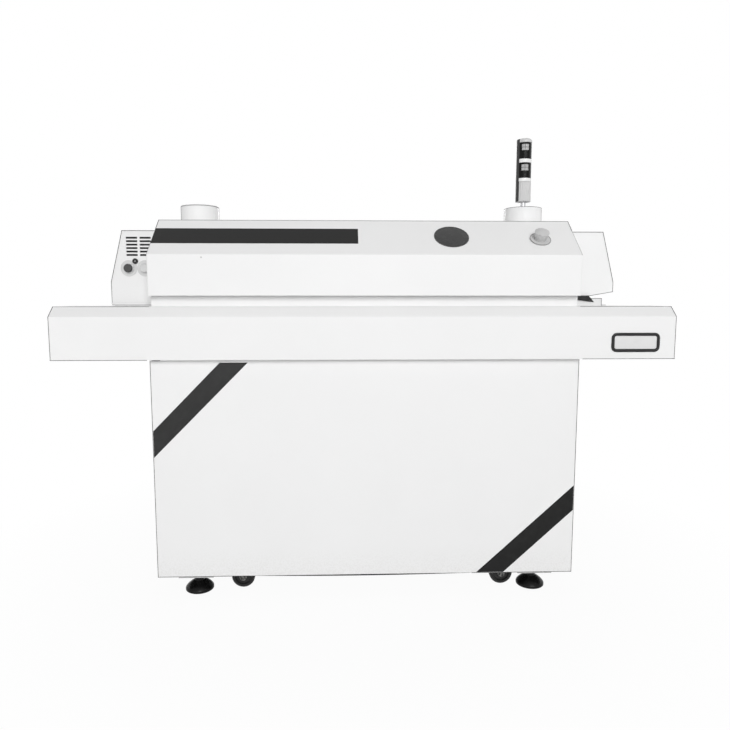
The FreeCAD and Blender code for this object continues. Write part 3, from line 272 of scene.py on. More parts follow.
def addCamera(place, down, right, focalPixels, framePixels, sensor, clipEnd):
    down, right = math.radians(down), math.radians(right)
    ahead = np.array([math.sin(right) * math.cos(down), math.cos(right) * math.cos(down), -math.sin(down)])
    side = np.array([math.cos(right), -math.sin(right), 0])
    above = np.cross(side, ahead)
    camera = bpy.data.cameras.new("photoCamera")
    camera.sensor_width = sensor
    camera.lens = sensor * focalPixels / framePixels
    camera.clip_end = clipEnd
    made = bpy.data.objects.new("photoCamera", camera)
    turn = Matrix(np.column_stack([side, above, -ahead]).tolist()).to_4x4()
    made.matrix_world = Matrix.Translation(place) @ turn
    bpy.context.scene.collection.objects.link(made)
    bpy.context.scene.camera = made


addCamera(**viewpoint)
print("camera placed")


# Shader nodes: sockets are set by name or number, with a value or a link

def addNode(tree, kind, sockets=None, **settings):
    node = tree.nodes.new(kind)
    for name, value in settings.items():
        setattr(node, name, value)
    for key, value in (sockets or {}).items():
        if isinstance(value, bpy.types.NodeSocket):
            tree.links.new(value, node.inputs[key])
        else:
            node.inputs[key].default_value = value
    return node


def feed(tree, sockets, sources):
    for key, source in sources.items():
        tree.links.new(source, sockets[key])


def arithmetic(tree, operation, first, second=0.0, clamp=False):
    sockets = {0: first, 1: second}
    return addNode(tree, "ShaderNodeMath", sockets, operation=operation, use_clamp=clamp).outputs[0]


def spread(tree, value, low, high, fromLow=0.3, fromHigh=0.7):
    sockets = {"Value": value, "From Min": fromLow, "From Max": fromHigh, "To Min": low, "To Max": high}
    return addNode(tree, "ShaderNodeMapRange", sockets).outputs["Result"]


def blendColours(tree, share, first, second):
    sockets = {"Factor": share, 6: first, 7: second}
    return addNode(tree, "ShaderNodeMix", sockets, data_type="RGBA").outputs[2]


def newGroup(name, inputs, outputs):
    tree = bpy.data.node_groups.new(name, "ShaderNodeTree")
    for label, kind, value in inputs:
        tree.interface.new_socket(label, in_out="INPUT", socket_type=kind).default_value = value
    for label, kind in outputs:
        tree.interface.new_socket(label, in_out="OUTPUT", socket_type=kind)
    return tree, tree.nodes.new("NodeGroupInput").outputs, tree.nodes.new("NodeGroupOutput").inputs


colourSocket, valueSocket, vectorSocket = "NodeSocketColor", "NodeSocketFloat", "NodeSocketVector"
skinOutputs = (("Colour", colourSocket), ("Rough", valueSocket), ("Height", valueSocket))


def grey(level):
    return (level, level, level, 1)


def objectCoords(tree):
    return addNode(tree, "ShaderNodeTexCoord").outputs["Object"]


def noise(tree, coords, scale, detail=2.0):
    sockets = {"Vector": coords, "Scale": scale, "Detail": detail}
    return addNode(tree, "ShaderNodeTexNoise", sockets).outputs["Fac"]


def vectorMath(tree, operation, sockets, output):
    return addNode(tree, "ShaderNodeVectorMath", sockets, operation=operation).outputs[output]


edgeWearAndShadeLook = {"samples": 8, "leant": 0.72, "flat": 0.87, "breaks": 60.0, "breakDetail": 3.0, "least": 0.8}


# edges rubbed lighter on the dark enamels, and a darker line of painted shade along the edges of the white
# sheet and the stop button: where a rounded normal leans away from the face's own, broken up by fine noise
def edgeWearAndShadeGroup(samples, leant, flat, breaks, breakDetail, least):
    tree, given, result = newGroup("edgeWearAndShade", (
        ("Width", valueSocket, 0.002), ("Amount", valueSocket, 1.0)), (("Mask", valueSocket),))
    rounded = addNode(tree, "ShaderNodeBevel", {"Radius": given["Width"]}, samples=samples)
    own = addNode(tree, "ShaderNodeNewGeometry").outputs["Normal"]
    facing = vectorMath(tree, "DOT_PRODUCT", {0: rounded.outputs["Normal"], 1: own}, "Value")
    lean = spread(tree, facing, 1.0, 0.0, leant, flat)
    broken = spread(tree, noise(tree, objectCoords(tree), breaks, breakDetail), least, 1.0)
    wornAndShaded = arithmetic(tree, "MULTIPLY", lean, broken)
    feed(tree, result, {"Mask": arithmetic(tree, "MULTIPLY", wornAndShaded, given["Amount"], True)})
    return tree


paintLook = {"drift": 2.6, "driftDetail": 3.0, "roughSpan": (-0.05, 0.05), "specks": 190.0,
             "speckDetail": 6.0, "speckRange": (0.42, 0.75), "mostDust": 0.7, "dustRough": 0.3}


# powder coat: orange-peel grain, slow drifts of shade, and a little dust towards the floor
def paintSkinGroup(drift, driftDetail, roughSpan, specks, speckDetail, speckRange, mostDust, dustRough):
    tree, given, result = newGroup("paintSkin", (
        ("Colour", colourSocket, grey(0.8)), ("Drift", colourSocket, grey(0.7)),
        ("Dust", colourSocket, (0.66, 0.65, 0.63, 1)), ("Grain", valueSocket, 900.0),
        ("Roughness", valueSocket, 0.45), ("Dust height", valueSocket, 0.16)), skinOutputs)
    coords = objectCoords(tree)
    broad = noise(tree, coords, drift, driftDetail)
    height = addNode(tree, "ShaderNodeSeparateXYZ", {0: coords}).outputs["Z"]
    rise = arithmetic(tree, "DIVIDE", height, given["Dust height"])
    nearFloor = arithmetic(tree, "SUBTRACT", 1.0, rise, True)
    speckled = spread(tree, noise(tree, coords, specks, speckDetail), 0.0, mostDust, *speckRange)
    dust = arithmetic(tree, "MULTIPLY", nearFloor, speckled)
    drifted = blendColours(tree, spread(tree, broad, 0.0, 1.0), given["Colour"], given["Drift"])
    rough = arithmetic(tree, "ADD", given["Roughness"], spread(tree, broad, *roughSpan))
    dusty = arithmetic(tree, "MULTIPLY", dust, dustRough)
    feed(tree, result, {"Colour": blendColours(tree, dust, drifted, given["Dust"]),
                        "Rough": arithmetic(tree, "ADD", rough, dusty),
                        "Height": noise(tree, coords, given["Grain"])})
    return tree


metalLook = {"lineDetail": 3.0, "lineShare": (-0.2, 0.4), "roughSpan": (-0.08, 0.1), "clouds": 14.0,
             "cloudDetail": 4.0, "cloudShare": 0.6}


# brushed or rolled metal: noise drawn out along one direction, with cloudy stains over it
def rolledMetalGroup(lineDetail, lineShare, roughSpan, clouds, cloudDetail, cloudShare):
    tree, given, result = newGroup("rolledMetal", (
        ("Colour", colourSocket, grey(0.6)), ("Stain", colourSocket, grey(0.4)),
        ("Lines", vectorSocket, (5.0, 400.0, 400.0)), ("Roughness", valueSocket, 0.35)), skinOutputs)
    coords = objectCoords(tree)
    drawn = vectorMath(tree, "MULTIPLY", {0: coords, 1: given["Lines"]}, 0)
    lines = noise(tree, drawn, 1.0, lineDetail)
    cloudy = spread(tree, noise(tree, coords, clouds, cloudDetail), 0.0, 1.0)
    share = arithmetic(tree, "MULTIPLY", cloudy, cloudShare)
    share = arithmetic(tree, "ADD", share, spread(tree, lines, *lineShare), True)
    rough = arithmetic(tree, "ADD", given["Roughness"], spread(tree, lines, *roughSpan))
    feed(tree, result, {"Colour": blendColours(tree, share, given["Colour"], given["Stain"]),
                        "Rough": rough, "Height": lines})
    return tree


mouldLook = {"patches": 38.0, "patchDetail": 4.0, "patchRange": (0.4, 0.75), "roughSpan": (-0.06, 0.08)}


# moulded plastic and rubber: spark-eroded grain, with a pale bloom in patches
def mouldedGroup(patches, patchDetail, patchRange, roughSpan):
    tree, given, result = newGroup("mouldedSkin", (
        ("Colour", colourSocket, grey(0.1)), ("Bloom", colourSocket, grey(0.2)),
        ("Grain", valueSocket, 2500.0), ("Roughness", valueSocket, 0.5)), skinOutputs)
    coords = objectCoords(tree)
    patchy = noise(tree, coords, patches, patchDetail)
    share = spread(tree, patchy, 0.0, 1.0, *patchRange)
    rough = arithmetic(tree, "ADD", given["Roughness"], spread(tree, patchy, *roughSpan))
    feed(tree, result, {"Colour": blendColours(tree, share, given["Colour"], given["Bloom"]),
                        "Rough": rough, "Height": noise(tree, coords, given["Grain"], 1.0)})
    return tree


edgeWearAndShade = edgeWearAndShadeGroup(**edgeWearAndShadeLook)
paintSkin = paintSkinGroup(**paintLook)
rolledMetal = rolledMetalGroup(**metalLook)
mouldedSkin = mouldedGroup(**mouldLook)


# Finishes: a skin group feeds the surface; edges, where asked for, take a colour of their own, lighter where
# rubbed on the dark enamels and a darker line of painted shade on the white sheet and the stop button

surfaceLook = {"bumpStrength": 0.6, "wornRough": 0.1, "paintGloss": 0.25}


def newFinish(name, group, groupSockets, bumpDepth, edge=None, **principled):
    material = bpy.data.materials.new(name)
    material.use_nodes = True
    tree = material.node_tree
    surface = tree.nodes["Principled BSDF"]
    skin = addNode(tree, "ShaderNodeGroup", node_tree=group)
    for key, value in groupSockets.items():
        skin.inputs[key].default_value = value
    bump = addNode(tree, "ShaderNodeBump", {"Height": skin.outputs["Height"], "Distance": bumpDepth,
                                            "Strength": surfaceLook["bumpStrength"]})
    colour, rough = skin.outputs["Colour"], skin.outputs["Rough"]
    if edge:
        sockets = {"Width": edge["width"], "Amount": edge["amount"]}
        wornAndShaded = addNode(tree, "ShaderNodeGroup", sockets, node_tree=edgeWearAndShade).outputs["Mask"]
        colour = blendColours(tree, wornAndShaded, colour, grey(edge["colour"]))
        rough = arithmetic(tree, "ADD", rough, arithmetic(tree, "MULTIPLY", wornAndShaded, surfaceLook["wornRough"]))
    feed(tree, surface.inputs, {"Base Color": colour, "Roughness": rough, "Normal": bump.outputs["Normal"]})
    for key, value in principled.items():
        surface.inputs[key.replace("_", " ")].default_value = value
    return material


def painted(name, colour, drift, roughness, edge, grain=900.0, depth=0.00012):
    sockets = {"Colour": grey(colour), "Drift": grey(drift), "Grain": grain, "Roughness": roughness}
    return newFinish(name, paintSkin, sockets, depth, edge, Specular_IOR_Level=surfaceLook["paintGloss"])


# the edge's colour, width and amount; on the white sheet and the stop button the darker edge is painted shade
def wornAndShadedEdge(colour, width=0.0026, amount=0.9):
    return {"colour": colour, "width": width, "amount": amount}


coat = {"fade": 0.02, "roughness": 0.42, "wornAndShaded": 0.34, "edgeShadeAmount": 0.5}


# white sheet, with a thin grey line of painted shade along its edges; its darker copies are painted shade on
# faces that lie back or under an overhang
def whiteCoat(name, colour):
    edge = wornAndShadedEdge(coat["wornAndShaded"], amount=coat["edgeShadeAmount"])
    return painted(name, colour, colour - coat["fade"], coat["roughness"], edge)


def metal(name, colour, stain, roughness, lines=(6.0, 500.0, 500.0), depth=0.00004):
    sockets = {"Colour": (*colour, 1), "Stain": (*stain, 1), "Lines": lines, "Roughness": roughness}
    return newFinish(name, rolledMetal, sockets, depth, Metallic=1.0)


def moulded(name, colour, bloom, roughness, grain=2500.0, depth=0.00005, gloss=0.5, edge=None):
    sockets = {"Colour": grey(colour), "Bloom": grey(bloom), "Grain": grain, "Roughness": roughness}
    return newFinish(name, mouldedSkin, sockets, depth, edge, Specular_IOR_Level=gloss)


# one finish for each of the record's slots: its name, two shades, roughness, then what its function takes
finishes = {
    "white_paint": whiteCoat("whitePowderCoat", 0.88),
    "frame_paint": painted("greyPowderCoat", 0.5, 0.46, 0.5, wornAndShadedEdge(0.3)),
    "zinc_sheet": metal("zincSheet", (0.62, 0.64, 0.66), (0.48, 0.5, 0.52), 0.38, (60.0, 60.0, 60.0)),
    "zinc_steel": metal("zincSteel", (0.66, 0.67, 0.69), (0.45, 0.46, 0.48), 0.34, (120.0, 120.0, 120.0)),
    "chamber_steel": metal("chamberSteel", (0.58, 0.57, 0.55), (0.4, 0.37, 0.33), 0.4),
    "heater_steel": metal("heaterSteel", (0.24, 0.22, 0.2), (0.12, 0.1, 0.1), 0.55, (400.0, 20.0, 400.0)),
    "nozzle_aluminium": metal("nozzleAluminium", (0.74, 0.74, 0.75), (0.6, 0.58, 0.55), 0.36),
    "belt_steel": metal("beltWire", (0.55, 0.54, 0.52), (0.36, 0.34, 0.31), 0.38, (90.0, 90.0, 90.0)),
    "drum_steel": metal("turnedSteel", (0.52, 0.52, 0.53), (0.38, 0.38, 0.38), 0.32, (300.0, 8.0, 300.0)),
    "bearing_iron": painted("bearingEnamel", 0.1, 0.08, 0.5, wornAndShadedEdge(0.2), 500.0, 0.0004),
    "motor_paint": painted("motorEnamel", 0.07, 0.055, 0.4, wornAndShadedEdge(0.16), 700.0, 0.0002),
    "fork_black": painted("forkEnamel", 0.014, 0.02, 0.35, wornAndShadedEdge(0.1), 700.0, 0.0001),
    "tower_chrome": metal("polishedTube", (0.5, 0.5, 0.51), (0.42, 0.42, 0.43), 0.3, (90.0, 90.0, 10.0),
                          0.00001),
    "tower_grey": moulded("greyMoulding", 0.6, 0.56, 0.45),
    "tower_lens": moulded("darkLens", 0.003, 0.006, 0.16, 300.0, 0.00002, 0.12),
    "tower_light": moulded("paleMoulding", 0.86, 0.82, 0.35),
    # the stop button's darker edges are painted shade
    "stop_plate": moulded("stopPlate", 0.6, 0.55, 0.45, edge=wornAndShadedEdge(0.25, 0.003)),
    "stop_head": moulded("stopHead", 0.56, 0.53, 0.32, edge=wornAndShadedEdge(0.25, 0.003)),
    "legend_grey": moulded("legendPlate", 0.62, 0.57, 0.4),
    "button_dark": moulded("darkButton", 0.05, 0.065, 0.42, gloss=0.3),
    "button_pale": moulded("paleButton", 0.6, 0.57, 0.35),
    "black_plastic": moulded("blackMoulding", 0.012, 0.02, 0.42, gloss=0.25),
    "black_rubber": moulded("sheetRubber", 0.022, 0.045, 0.72, 900.0, 0.0002, 0.2),
    "seal_grey": moulded("siliconeSeal", 0.85, 0.8, 0.6, 900.0, 0.0001, 0.3),
    "foot_black": moulded("footMoulding", 0.003, 0.007, 0.3, 1500.0, 0.00006, 0.15),
    "wheel_black": moulded("wheelRubber", 0.012, 0.022, 0.4, 1200.0, 0.0001, 0.25),
}
stripeVinyl = moulded("stripeVinyl", 0.014, 0.019, 0.45, 1800.0, 0.00004, 0.12)
bandVinyl = moulded("bandVinyl", 0.032, 0.038, 0.45, 1800.0, 0.00004, 0.12)
badgeResin = moulded("badgeResin", 0.040, 0.050, 0.25, 400.0, 0.00002, 0.2)
cardStock = moulded("cardStock", 0.76, 0.72, 0.6, 1400.0, 0.00008, 0.3)
# pale grey for the buzzer's lens and for the painted highlights on the tower's lenses
paleLensAndHighlight = moulded("paleLensAndHighlight", 0.45, 0.38, 0.4, 1400.0, 0.00004, 0.3)
shadowGrey = moulded("shadowGrey", 0.035, 0.05, 0.5, gloss=0.25)
# darker copies of the white coat, as painted shade: the entry tunnel set back behind the hood, the sills
# under the tunnels, the rim under the hood
shadedCoats = {"entry_tunnel": whiteCoat("entryShadedCoat", 0.83),
            "tunnel_sills": whiteCoat("sillShadedCoat", 0.78),
            "chamber_rim": whiteCoat("rimShadedCoat", 0.85)}

for row in frame["record"]["subparts"]:
    solid = nodes[row["node"]]
    solid.data.materials.clear()
    solid.data.materials.append(shadedCoats.get(row["node"], finishes[row["material_slot"]]))
print("finishes made for", len(finishes), "slots")


# Hood: dark stripe, bare disc, dark lines of painted shade along its edges, trim of the stop button, blind
# plug

hoodLow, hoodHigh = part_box("hood_shell")
hoodForm = {"frontHeight": 0.124, "slopeDepth": 0.140, "edgeRadius": 0.004}
hoodShoulder = hoodLow.z + hoodForm["frontHeight"]
slopeTurn = math.atan2(hoodHigh.z - hoodShoulder, hoodForm["slopeDepth"])
slopeFace = np.array([(1, 0, 0), (0, math.cos(slopeTurn), math.sin(slopeTurn)),
                      (0, -math.sin(slopeTurn), math.cos(slopeTurn))])


def onSlope(x, upSlope):
    return (x, hoodLow.y + upSlope * math.cos(slopeTurn), hoodShoulder + upSlope * math.sin(slopeTurn))


stripe = {"end": -0.025, "low": 0.056, "high": 0.136, "thickness": 0.0003, "wrap": 0.012, "steps": 7}


# a band across the slope: from its end to the folded edge, a quarter turn round it, then down the side
def addHoodStripe(end, low, high, thickness, wrap, steps):
    radius = hoodForm["edgeRadius"]
    turn = np.linspace(0, np.pi / 2, steps)
    x = np.concatenate([[end], hoodLow.x + radius - radius * np.sin(turn), [hoodLow.x]])[:, None]
    out = np.concatenate([[0], radius * (np.cos(turn) - 1), [-radius - wrap]])[:, None]
    normalX = np.concatenate([[0], -np.sin(turn), [-1]])[:, None]
    normalOut = np.concatenate([[1], np.cos(turn), [0]])[:, None]
    raised = thickness * np.array([0, 0, 1, 1])
    rings = pointGrid(x + normalX * raised, np.array([low, high, high, low]), out + normalOut * raised)
    band = put(loft(rings), onSlope(0, 0), slopeFace)
    addPiece("hoodStripe", band, "hood", "black_plastic", stripeVinyl)


addHoodStripe(**stripe)

badge = {"x": 0.269, "upSlope": 0.0935, "radius": 0.055, "rim": 0.002, "lip": 0.0016, "edge": 0.0004,
         "edgeSteps": 4, "domeFoot": 0.00096, "dome": 0.0026, "inner": 0.02, "domeSteps": 14, "sides": 96}


# a shallow dome inside a narrow raised rim
def addBadge(x, upSlope, radius, rim, lip, edge, edgeSteps, domeFoot, dome, inner, domeSteps, sides):
    top = domeProfile(radius - rim, domeFoot, dome, inner, domeSteps)
    corners = [(radius, 0), (radius, lip), (radius - rim, lip), top[0]]
    profile = np.vstack([roundCorners(corners, edge, edgeSteps, False), top[1:]])
    disc = put(lathe(profile, sides), onSlope(x, upSlope), slopeFace)
    addPiece("bareBadge", disc, "hood", "black_plastic", badgeResin, smoothTo=50)


addBadge(**badge)

hoodShadeLine = {"radius": 0.0008, "thin": 0.0003, "inset": 0.0012, "sink": 0.0001, "thinTo": 0.129}


# dark lines of painted shade up the slope's left edge, along its fold with the top and down its right edge;
# thin on the lower slope
def addHoodShadeLines(radius, thin, inset, sink, thinTo):
    top = math.hypot(hoodForm["slopeDepth"], hoodHigh.z - hoodShoulder)
    left, right = hoodLow.x + inset, hoodHigh.x - inset
    drop = np.array((0, 0, sink))
    corners = ((left, thinTo), (left, top), (right, top), (right, thinTo))
    path = np.array([onSlope(*corner) for corner in corners]) - drop
    lower = [np.array([onSlope(x, 0), onSlope(x, thinTo)]) - drop for x in (left, right)]
    hoodLines = join(shadeLines([path], radius), shadeLines(lower, thin))
    addPiece("hoodShadeLines", hoodLines, "hood", "black_rubber", shadowGrey, smoothTo=60)


addHoodShadeLines(**hoodShadeLine)

stop = {"x": 0.548, "upSlope": 0.0795, "plate": 0.0322, "plateTop": 0.003, "cord": 0.0007, "cordSides": 8,
        "inner": 0.0185, "skirtFoot": (0.0198, 0.0096), "skirtTop": (0.0221, 0.0258), "edge": 0.0004,
        "sides": 72}


# a tapered skirt under the stop's head, clear of its bezel, and a dark ring of painted shade round the edge
# of its plate
def addStopTrim(x, upSlope, plate, plateTop, cord, cordSides, inner, skirtFoot, skirtTop, edge, sides):
    place, (foot, bottom), (rim, top) = onSlope(x, upSlope), skirtFoot, skirtTop
    corners = [(inner, bottom), (foot, bottom), (rim, top), (inner, top)]
    skirt = put(lathe(roundCorners(corners, edge), sides, True), place, slopeFace)
    addPiece("stopSkirt", skirt, "stop_head", "stop_head", smoothTo=40)
    ring = put(lathe(circle(cord, cordSides, (plate, plateTop)), sides, True), place, slopeFace)
    addPiece("stopShadeRing", ring, "hood", "black_rubber", shadowGrey, smoothTo=60)


addStopTrim(**stop)

plug = {"x": -0.499, "z": 1.068, "radius": 0.0026, "height": 0.0012, "sides": 20,
        "profile": ((1, 0), (1, 0.5), (0.7, 1), (0.1, 1.1))}


# its profile is given in shares of radius and height
def addBlindPlug(x, z, radius, height, sides, profile):
    button = lathe(np.array(profile) * (radius, height), sides)
    addPiece("blindPlug", put(button, (x, hoodLow.y, z), frontFace), "hood", "legend_grey")


addBlindPlug(**plug)
print("hood dressed")


# Cabinet: corner bands, plate holder with a blank card, trim in the gap under the beam, a dark strip of
# painted shadow under the panel

panelLow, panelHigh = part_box("front_panel")
cornerBands = {"thickness": 0.0003, "edge": 0.0001, "corner": 0.0004, "margin": 0.0016, "topMargin": 0.006,
               "upperTop": (-0.452, -0.366), "upperSide": (0.452, 0.536),
               "lowerBottom": (0.353, 0.441), "lowerSide": (0.270, 0.351)}


def addCornerBands(thickness, edge, corner, margin, topMargin, upperTop, upperSide, lowerBottom, lowerSide):
    left, right = panelLow.x + margin, panelHigh.x - margin
    bottom, top = panelLow.z + margin, panelHigh.z - topMargin
    upper = [(left, upperSide[0]), (upperTop[1], top), (upperTop[0], top), (left, upperSide[1])]
    lower = [(lowerBottom[0], bottom), (lowerBottom[1], bottom), (right, lowerSide[0]), (right, lowerSide[1])]
    for name, corners, vinyl in (("upperBand", upper, bandVinyl), ("lowerBand", lower, stripeVinyl)):
        band = slab(corners, corner, thickness, edge)
        addPiece(name, put(band, (0, panelLow.y, 0), frontFace), "base", "black_plastic", vinyl)


addCornerBands(**cornerBands)

beamLow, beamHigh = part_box("front_beam")
holder = {"x": 0.825, "z": 0.8105, "width": 0.150, "height": 0.059, "radius": 0.006, "bar": 0.0095,
          "depth": 0.0045,
          "section": ((0, 0), (0, 0.55), (0.12, 0.88), (0.3, 1), (0.65, 1), (0.88, 0.8), (1, 0.4), (1, 0)),
          "card": {"thickness": 0.0012, "corner": 0.0054, "edge": 0.0002}}


# a flat-backed bar, its section in shares of width and depth, carried round a blank card
def addPlateHolder(x, z, width, height, radius, bar, depth, section, card):
    place = (x, beamLow.y, z)
    ring = moulding(width, height, radius + bar, np.array(section) * (bar, depth))
    addPiece("plateHolder", put(ring, place, frontFace), "base", "black_plastic", smoothTo=50)
    blank = flatBar(width - 2 * bar, height - 2 * bar, **card)
    addPiece("blankCard", put(blank, place, frontFace), "base", "white_paint", cardStock)


addPlateHolder(**holder)

trim = {"back": -0.0040, "inset": 0.004, "play": 0.0002, "blockX": -0.6435,
        "strip": {"thickness": 0.003, "corner": 0.001, "edge": 0.0008},
        "block": {"width": 0.025, "height": 0.0042, "thickness": 0.006, "corner": 0.0015, "edge": 0.001}}


# a pale strip that closes the gap between cabinet and beam, and a buffer block at its left end
def addGapTrim(back, inset, play, blockX, strip, block):
    x, y = middle(panelLow, panelHigh)[0], panelLow.y + back + strip["thickness"]
    z = (beamLow.z + panelHigh.z) / 2
    filler = flatBar(panelHigh.x - panelLow.x - 2 * inset, beamLow.z - panelHigh.z - play, **strip)
    addPiece("gapTrim", put(filler, (x, y, z), frontFace), "base", "white_paint")
    pad = put(flatBar(**block), (blockX, y, z), frontFace)
    addPiece("bufferBlock", pad, "base", "black_plastic", shadowGrey)


addGapTrim(**trim)

lowerShadeStrip = {"x": (-0.37, 0.34), "y": (0.0004, 0.0054), "drop": 0.0040, "lap": 0.0005, "stations": 60}


# a dark strip of painted shadow under the front panel that bows down as a half sine between its ends
def addLowerShadeStrip(x, y, drop, lap, stations):
    share = np.linspace(0, 1, stations)[:, None]
    near, far = panelLow.y + y[0], panelLow.y + y[1]
    reach = lap + drop * np.sin(np.pi * share)
    z = panelLow.z + lap - reach * np.array([0, 0, 1, 1])
    rings = pointGrid(x[0] + share * (x[1] - x[0]), np.array([near, far, far, near]), z)
    addPiece("lowerShadeStrip", loft(rings), "base", "black_rubber")


addLowerShadeStrip(**lowerShadeStrip)
print("cabinet dressed")


# Levelling feet: moulded pads with a cone of gentle belly, hexagon lock nuts, threaded studs

feet = {"pad": {"radius": 0.045, "chamfer": 0.002, "rim": 0.008, "belly": (0.0352, 0.0200),
                "neck": (0.0162, 0.033), "neckRise": 0.004, "neckTop": (0.014, 0.048), "hole": 0.001,
                "steps": 12, "sides": 72},
        "nut": {"radius": 0.014, "sides": 6, "corner": 0.001, "thickness": 0.010, "edge": 0.0008},
        "stud": {"radius": 0.008, "pitch": 0.002, "depth": 0.0009, "steps": 4, "sides": 24}}


# a profile turned about the stud: upright rim, a quadratic curve through the belly to the neck, neck
def footPad(radius, chamfer, rim, belly, neck, neckRise, neckTop, hole, steps, sides):
    share = np.linspace(0, 1, steps)[:, None]
    start, end = np.array((radius, rim)), np.array(neck)
    pull = 2 * np.array(belly) - (start + end) / 2
    flank = (1 - share) ** 2 * start + 2 * share * (1 - share) * pull + share ** 2 * end
    under = [(hole, 0), (radius - chamfer, 0), (radius, chamfer)]
    upper = [(neck[0], neck[1] + neckRise), neckTop, (hole, neckTop[1])]
    return lathe(np.vstack([under, flank, upper]), sides)


def lockNut(radius, sides, corner, thickness, edge):
    return slab(circle(radius, sides), corner, thickness, edge)


# radius falls and rises once in each pitch, as a triangle wave of the height
def footStud(bottom, top, radius, pitch, depth, steps, sides):
    z = np.linspace(bottom, top, int((top - bottom) / pitch) * steps + 1)
    wave = np.abs(2 * np.mod((z - bottom) / pitch, 1) - 1)
    return lathe(np.column_stack([radius - depth * wave, z]), sides)


def addFeet(pad, nut, stud):
    level = pad["neckTop"][1]
    for corner in ("front_left", "front_right", "rear_left", "rear_right"):
        low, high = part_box("levelling_foot_" + corner)
        place = (*middle(low, high)[:2], low.z)
        shape = put(footPad(**pad), place, topFace)
        made = addPiece("footPad_" + corner, shape, "foot_" + corner, "foot_black", smoothTo=30)
        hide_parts("levelling_foot_" + corner)
        steel = join(put(lockNut(**nut), (0, 0, level), topFace), footStud(level, high.z - low.z, **stud))
        shape = put(steel, place, topFace)
        addPiece("footStud_" + corner, shape, "foot_" + corner, "zinc_steel", smoothTo=30)


addFeet(**feet)
print("feet turned")


# Mesh belt: cross rods, and flat spirals of wire that link each rod to the next

belt = {"rowPitch": 0.014, "edgeInset": 0.002, "rodRadius": 0.0008, "rodSides": 6, "wireRadius": 0.0006,
        "wireSides": 4, "lift": 0.0008, "coils": 25, "coilStart": 0.25, "coilEnd": 0.98}


# a loop of two straight runs and two half turns; distance runs along its middle, lift stands out from it
def beltPoints(distance, across, lift, reach, height, radius):
    straight, half = 2 * reach, np.pi * radius
    distance = np.mod(distance, 2 * straight + 2 * half)
    first = (distance - straight) / radius
    second = (distance - 2 * straight - half) / radius
    out = radius + lift
    where = [distance < straight, distance < straight + half, distance < 2 * straight + half]
    back = distance - straight - half
    x = np.select(where, [distance - reach, reach + out * np.sin(first), reach - back],
                  -reach - out * np.sin(second))
    z = np.select(where, [height + out, height + out * np.cos(first), height - out],
                  height - out * np.cos(second))
    return pointGrid(x, across, z)


def addBelt(rowPitch, edgeInset, rodRadius, rodSides, wireRadius, wireSides, lift, coils, coilStart, coilEnd):
    low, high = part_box("mesh_belt")
    outer = (high.z - low.z) / 2
    radius, reach = outer - (rodRadius + wireRadius), high.x - outer
    form = (reach, middle(low, high)[2], radius)
    length = 4 * reach + 2 * np.pi * radius
    rows = int(length // rowPitch)
    pitch, edge = length / rows, high.y - edgeInset
    start = np.arange(rows) * pitch
    rods = wires(beltPoints(start, -edge, 0, *form), beltPoints(start, edge, 0, *form), rodRadius, rodSides)
    step = 2 * edge / coils
    side = (-edge + (np.arange(coils) + coilStart) * step)[None, :]
    here, there, half = start[:, None], start[:, None] + pitch, side + step / 2
    upper = beltPoints(here, side, lift, *form), beltPoints(there, half, lift, *form)
    lower = beltPoints(there, half, -lift, *form), beltPoints(here, side + step * coilEnd, -lift, *form)
    spirals = [wires(a.reshape(-1, 3), b.reshape(-1, 3), wireRadius, wireSides) for a, b in (upper, lower)]
    made = addPiece("wireBelt", join(rods, *spirals), "base", "belt_steel", smoothTo=60)
    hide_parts("mesh_belt")


addBelt(**belt)
print("belt woven")


# Soft seals: strip curtains in the tunnel mouths, the hood's gasket, the flap under the exit tunnel

curtain = {"strips": 10, "slit": 0.0015, "thickness": 0.0026, "curl": 0.0012, "clear": 0.0002, "rows": 12,
           "columns": 8, "phaseStep": 2.3, "phase": 1.0, "edgeCurl": 0.6,
           "mouths": ((0.174, 0.985), (0.1755, 0.978)),  # half width and top, at the entry and the exit
           "rail": {"drop": 0.004, "height": 0.013, "lap": 0.0022,
                    "bar": {"thickness": 0.0022, "corner": 0.002, "edge": 0.0006}}}


# each strip is a sheet whose depth swells and curls towards its free end, in step with its own number
def addCurtains(strips, slit, thickness, curl, clear, rows, columns, phaseStep, phase, edgeCurl, mouths,
                rail):
    low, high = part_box("tunnel_curtains")
    strip = np.arange(strips)[:, None, None]
    up = np.linspace(0, 1, rows)[None, :, None]
    side = np.linspace(0, 1, columns)[None, None, :]
    crown = edgeCurl + (1 - edgeCurl) * np.cos(np.pi * (side - 0.5))
    swell = curl * (1 - up) ** 2 * np.sin(phaseStep * strip + phase) * crown
    sheets, rails = [], []
    for wall, (half, top), face in zip((low.x, high.x), mouths, (rightFace, leftFace)):
        inwards, width = -math.copysign(1, wall), 2 * half / strips
        x = wall + inwards * (thickness / 2 + curl + clear + swell)
        y = -half + strip * width + slit / 2 + side * (width - slit)
        sheets += [sheet(points) for points in pointGrid(x, y, low.z + up * (top - low.z))]
        bar = flatBar(2 * (half + rail["lap"]), rail["height"], **rail["bar"])
        level = top - rail["drop"] - rail["height"] / 2
        rails.append(put(bar, (wall + inwards * (thickness + curl), 0, level), face))
    made = addPiece("stripCurtains", join(*sheets), "base", "black_rubber")
    thicken(made, thickness)
    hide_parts("tunnel_curtains")
    addPiece("curtainRails", join(*rails), "base", "zinc_sheet")


addCurtains(**curtain)

gasket = {"width": 0.024, "gap": 0.0002, "ribs": 3, "ribHeight": 0.0007, "ribFill": 0.98, "toe": 0.35,
          "toeSlope": 18, "points": 25, "stations": 120, "sag": 0.0001, "waves": (31, 7)}


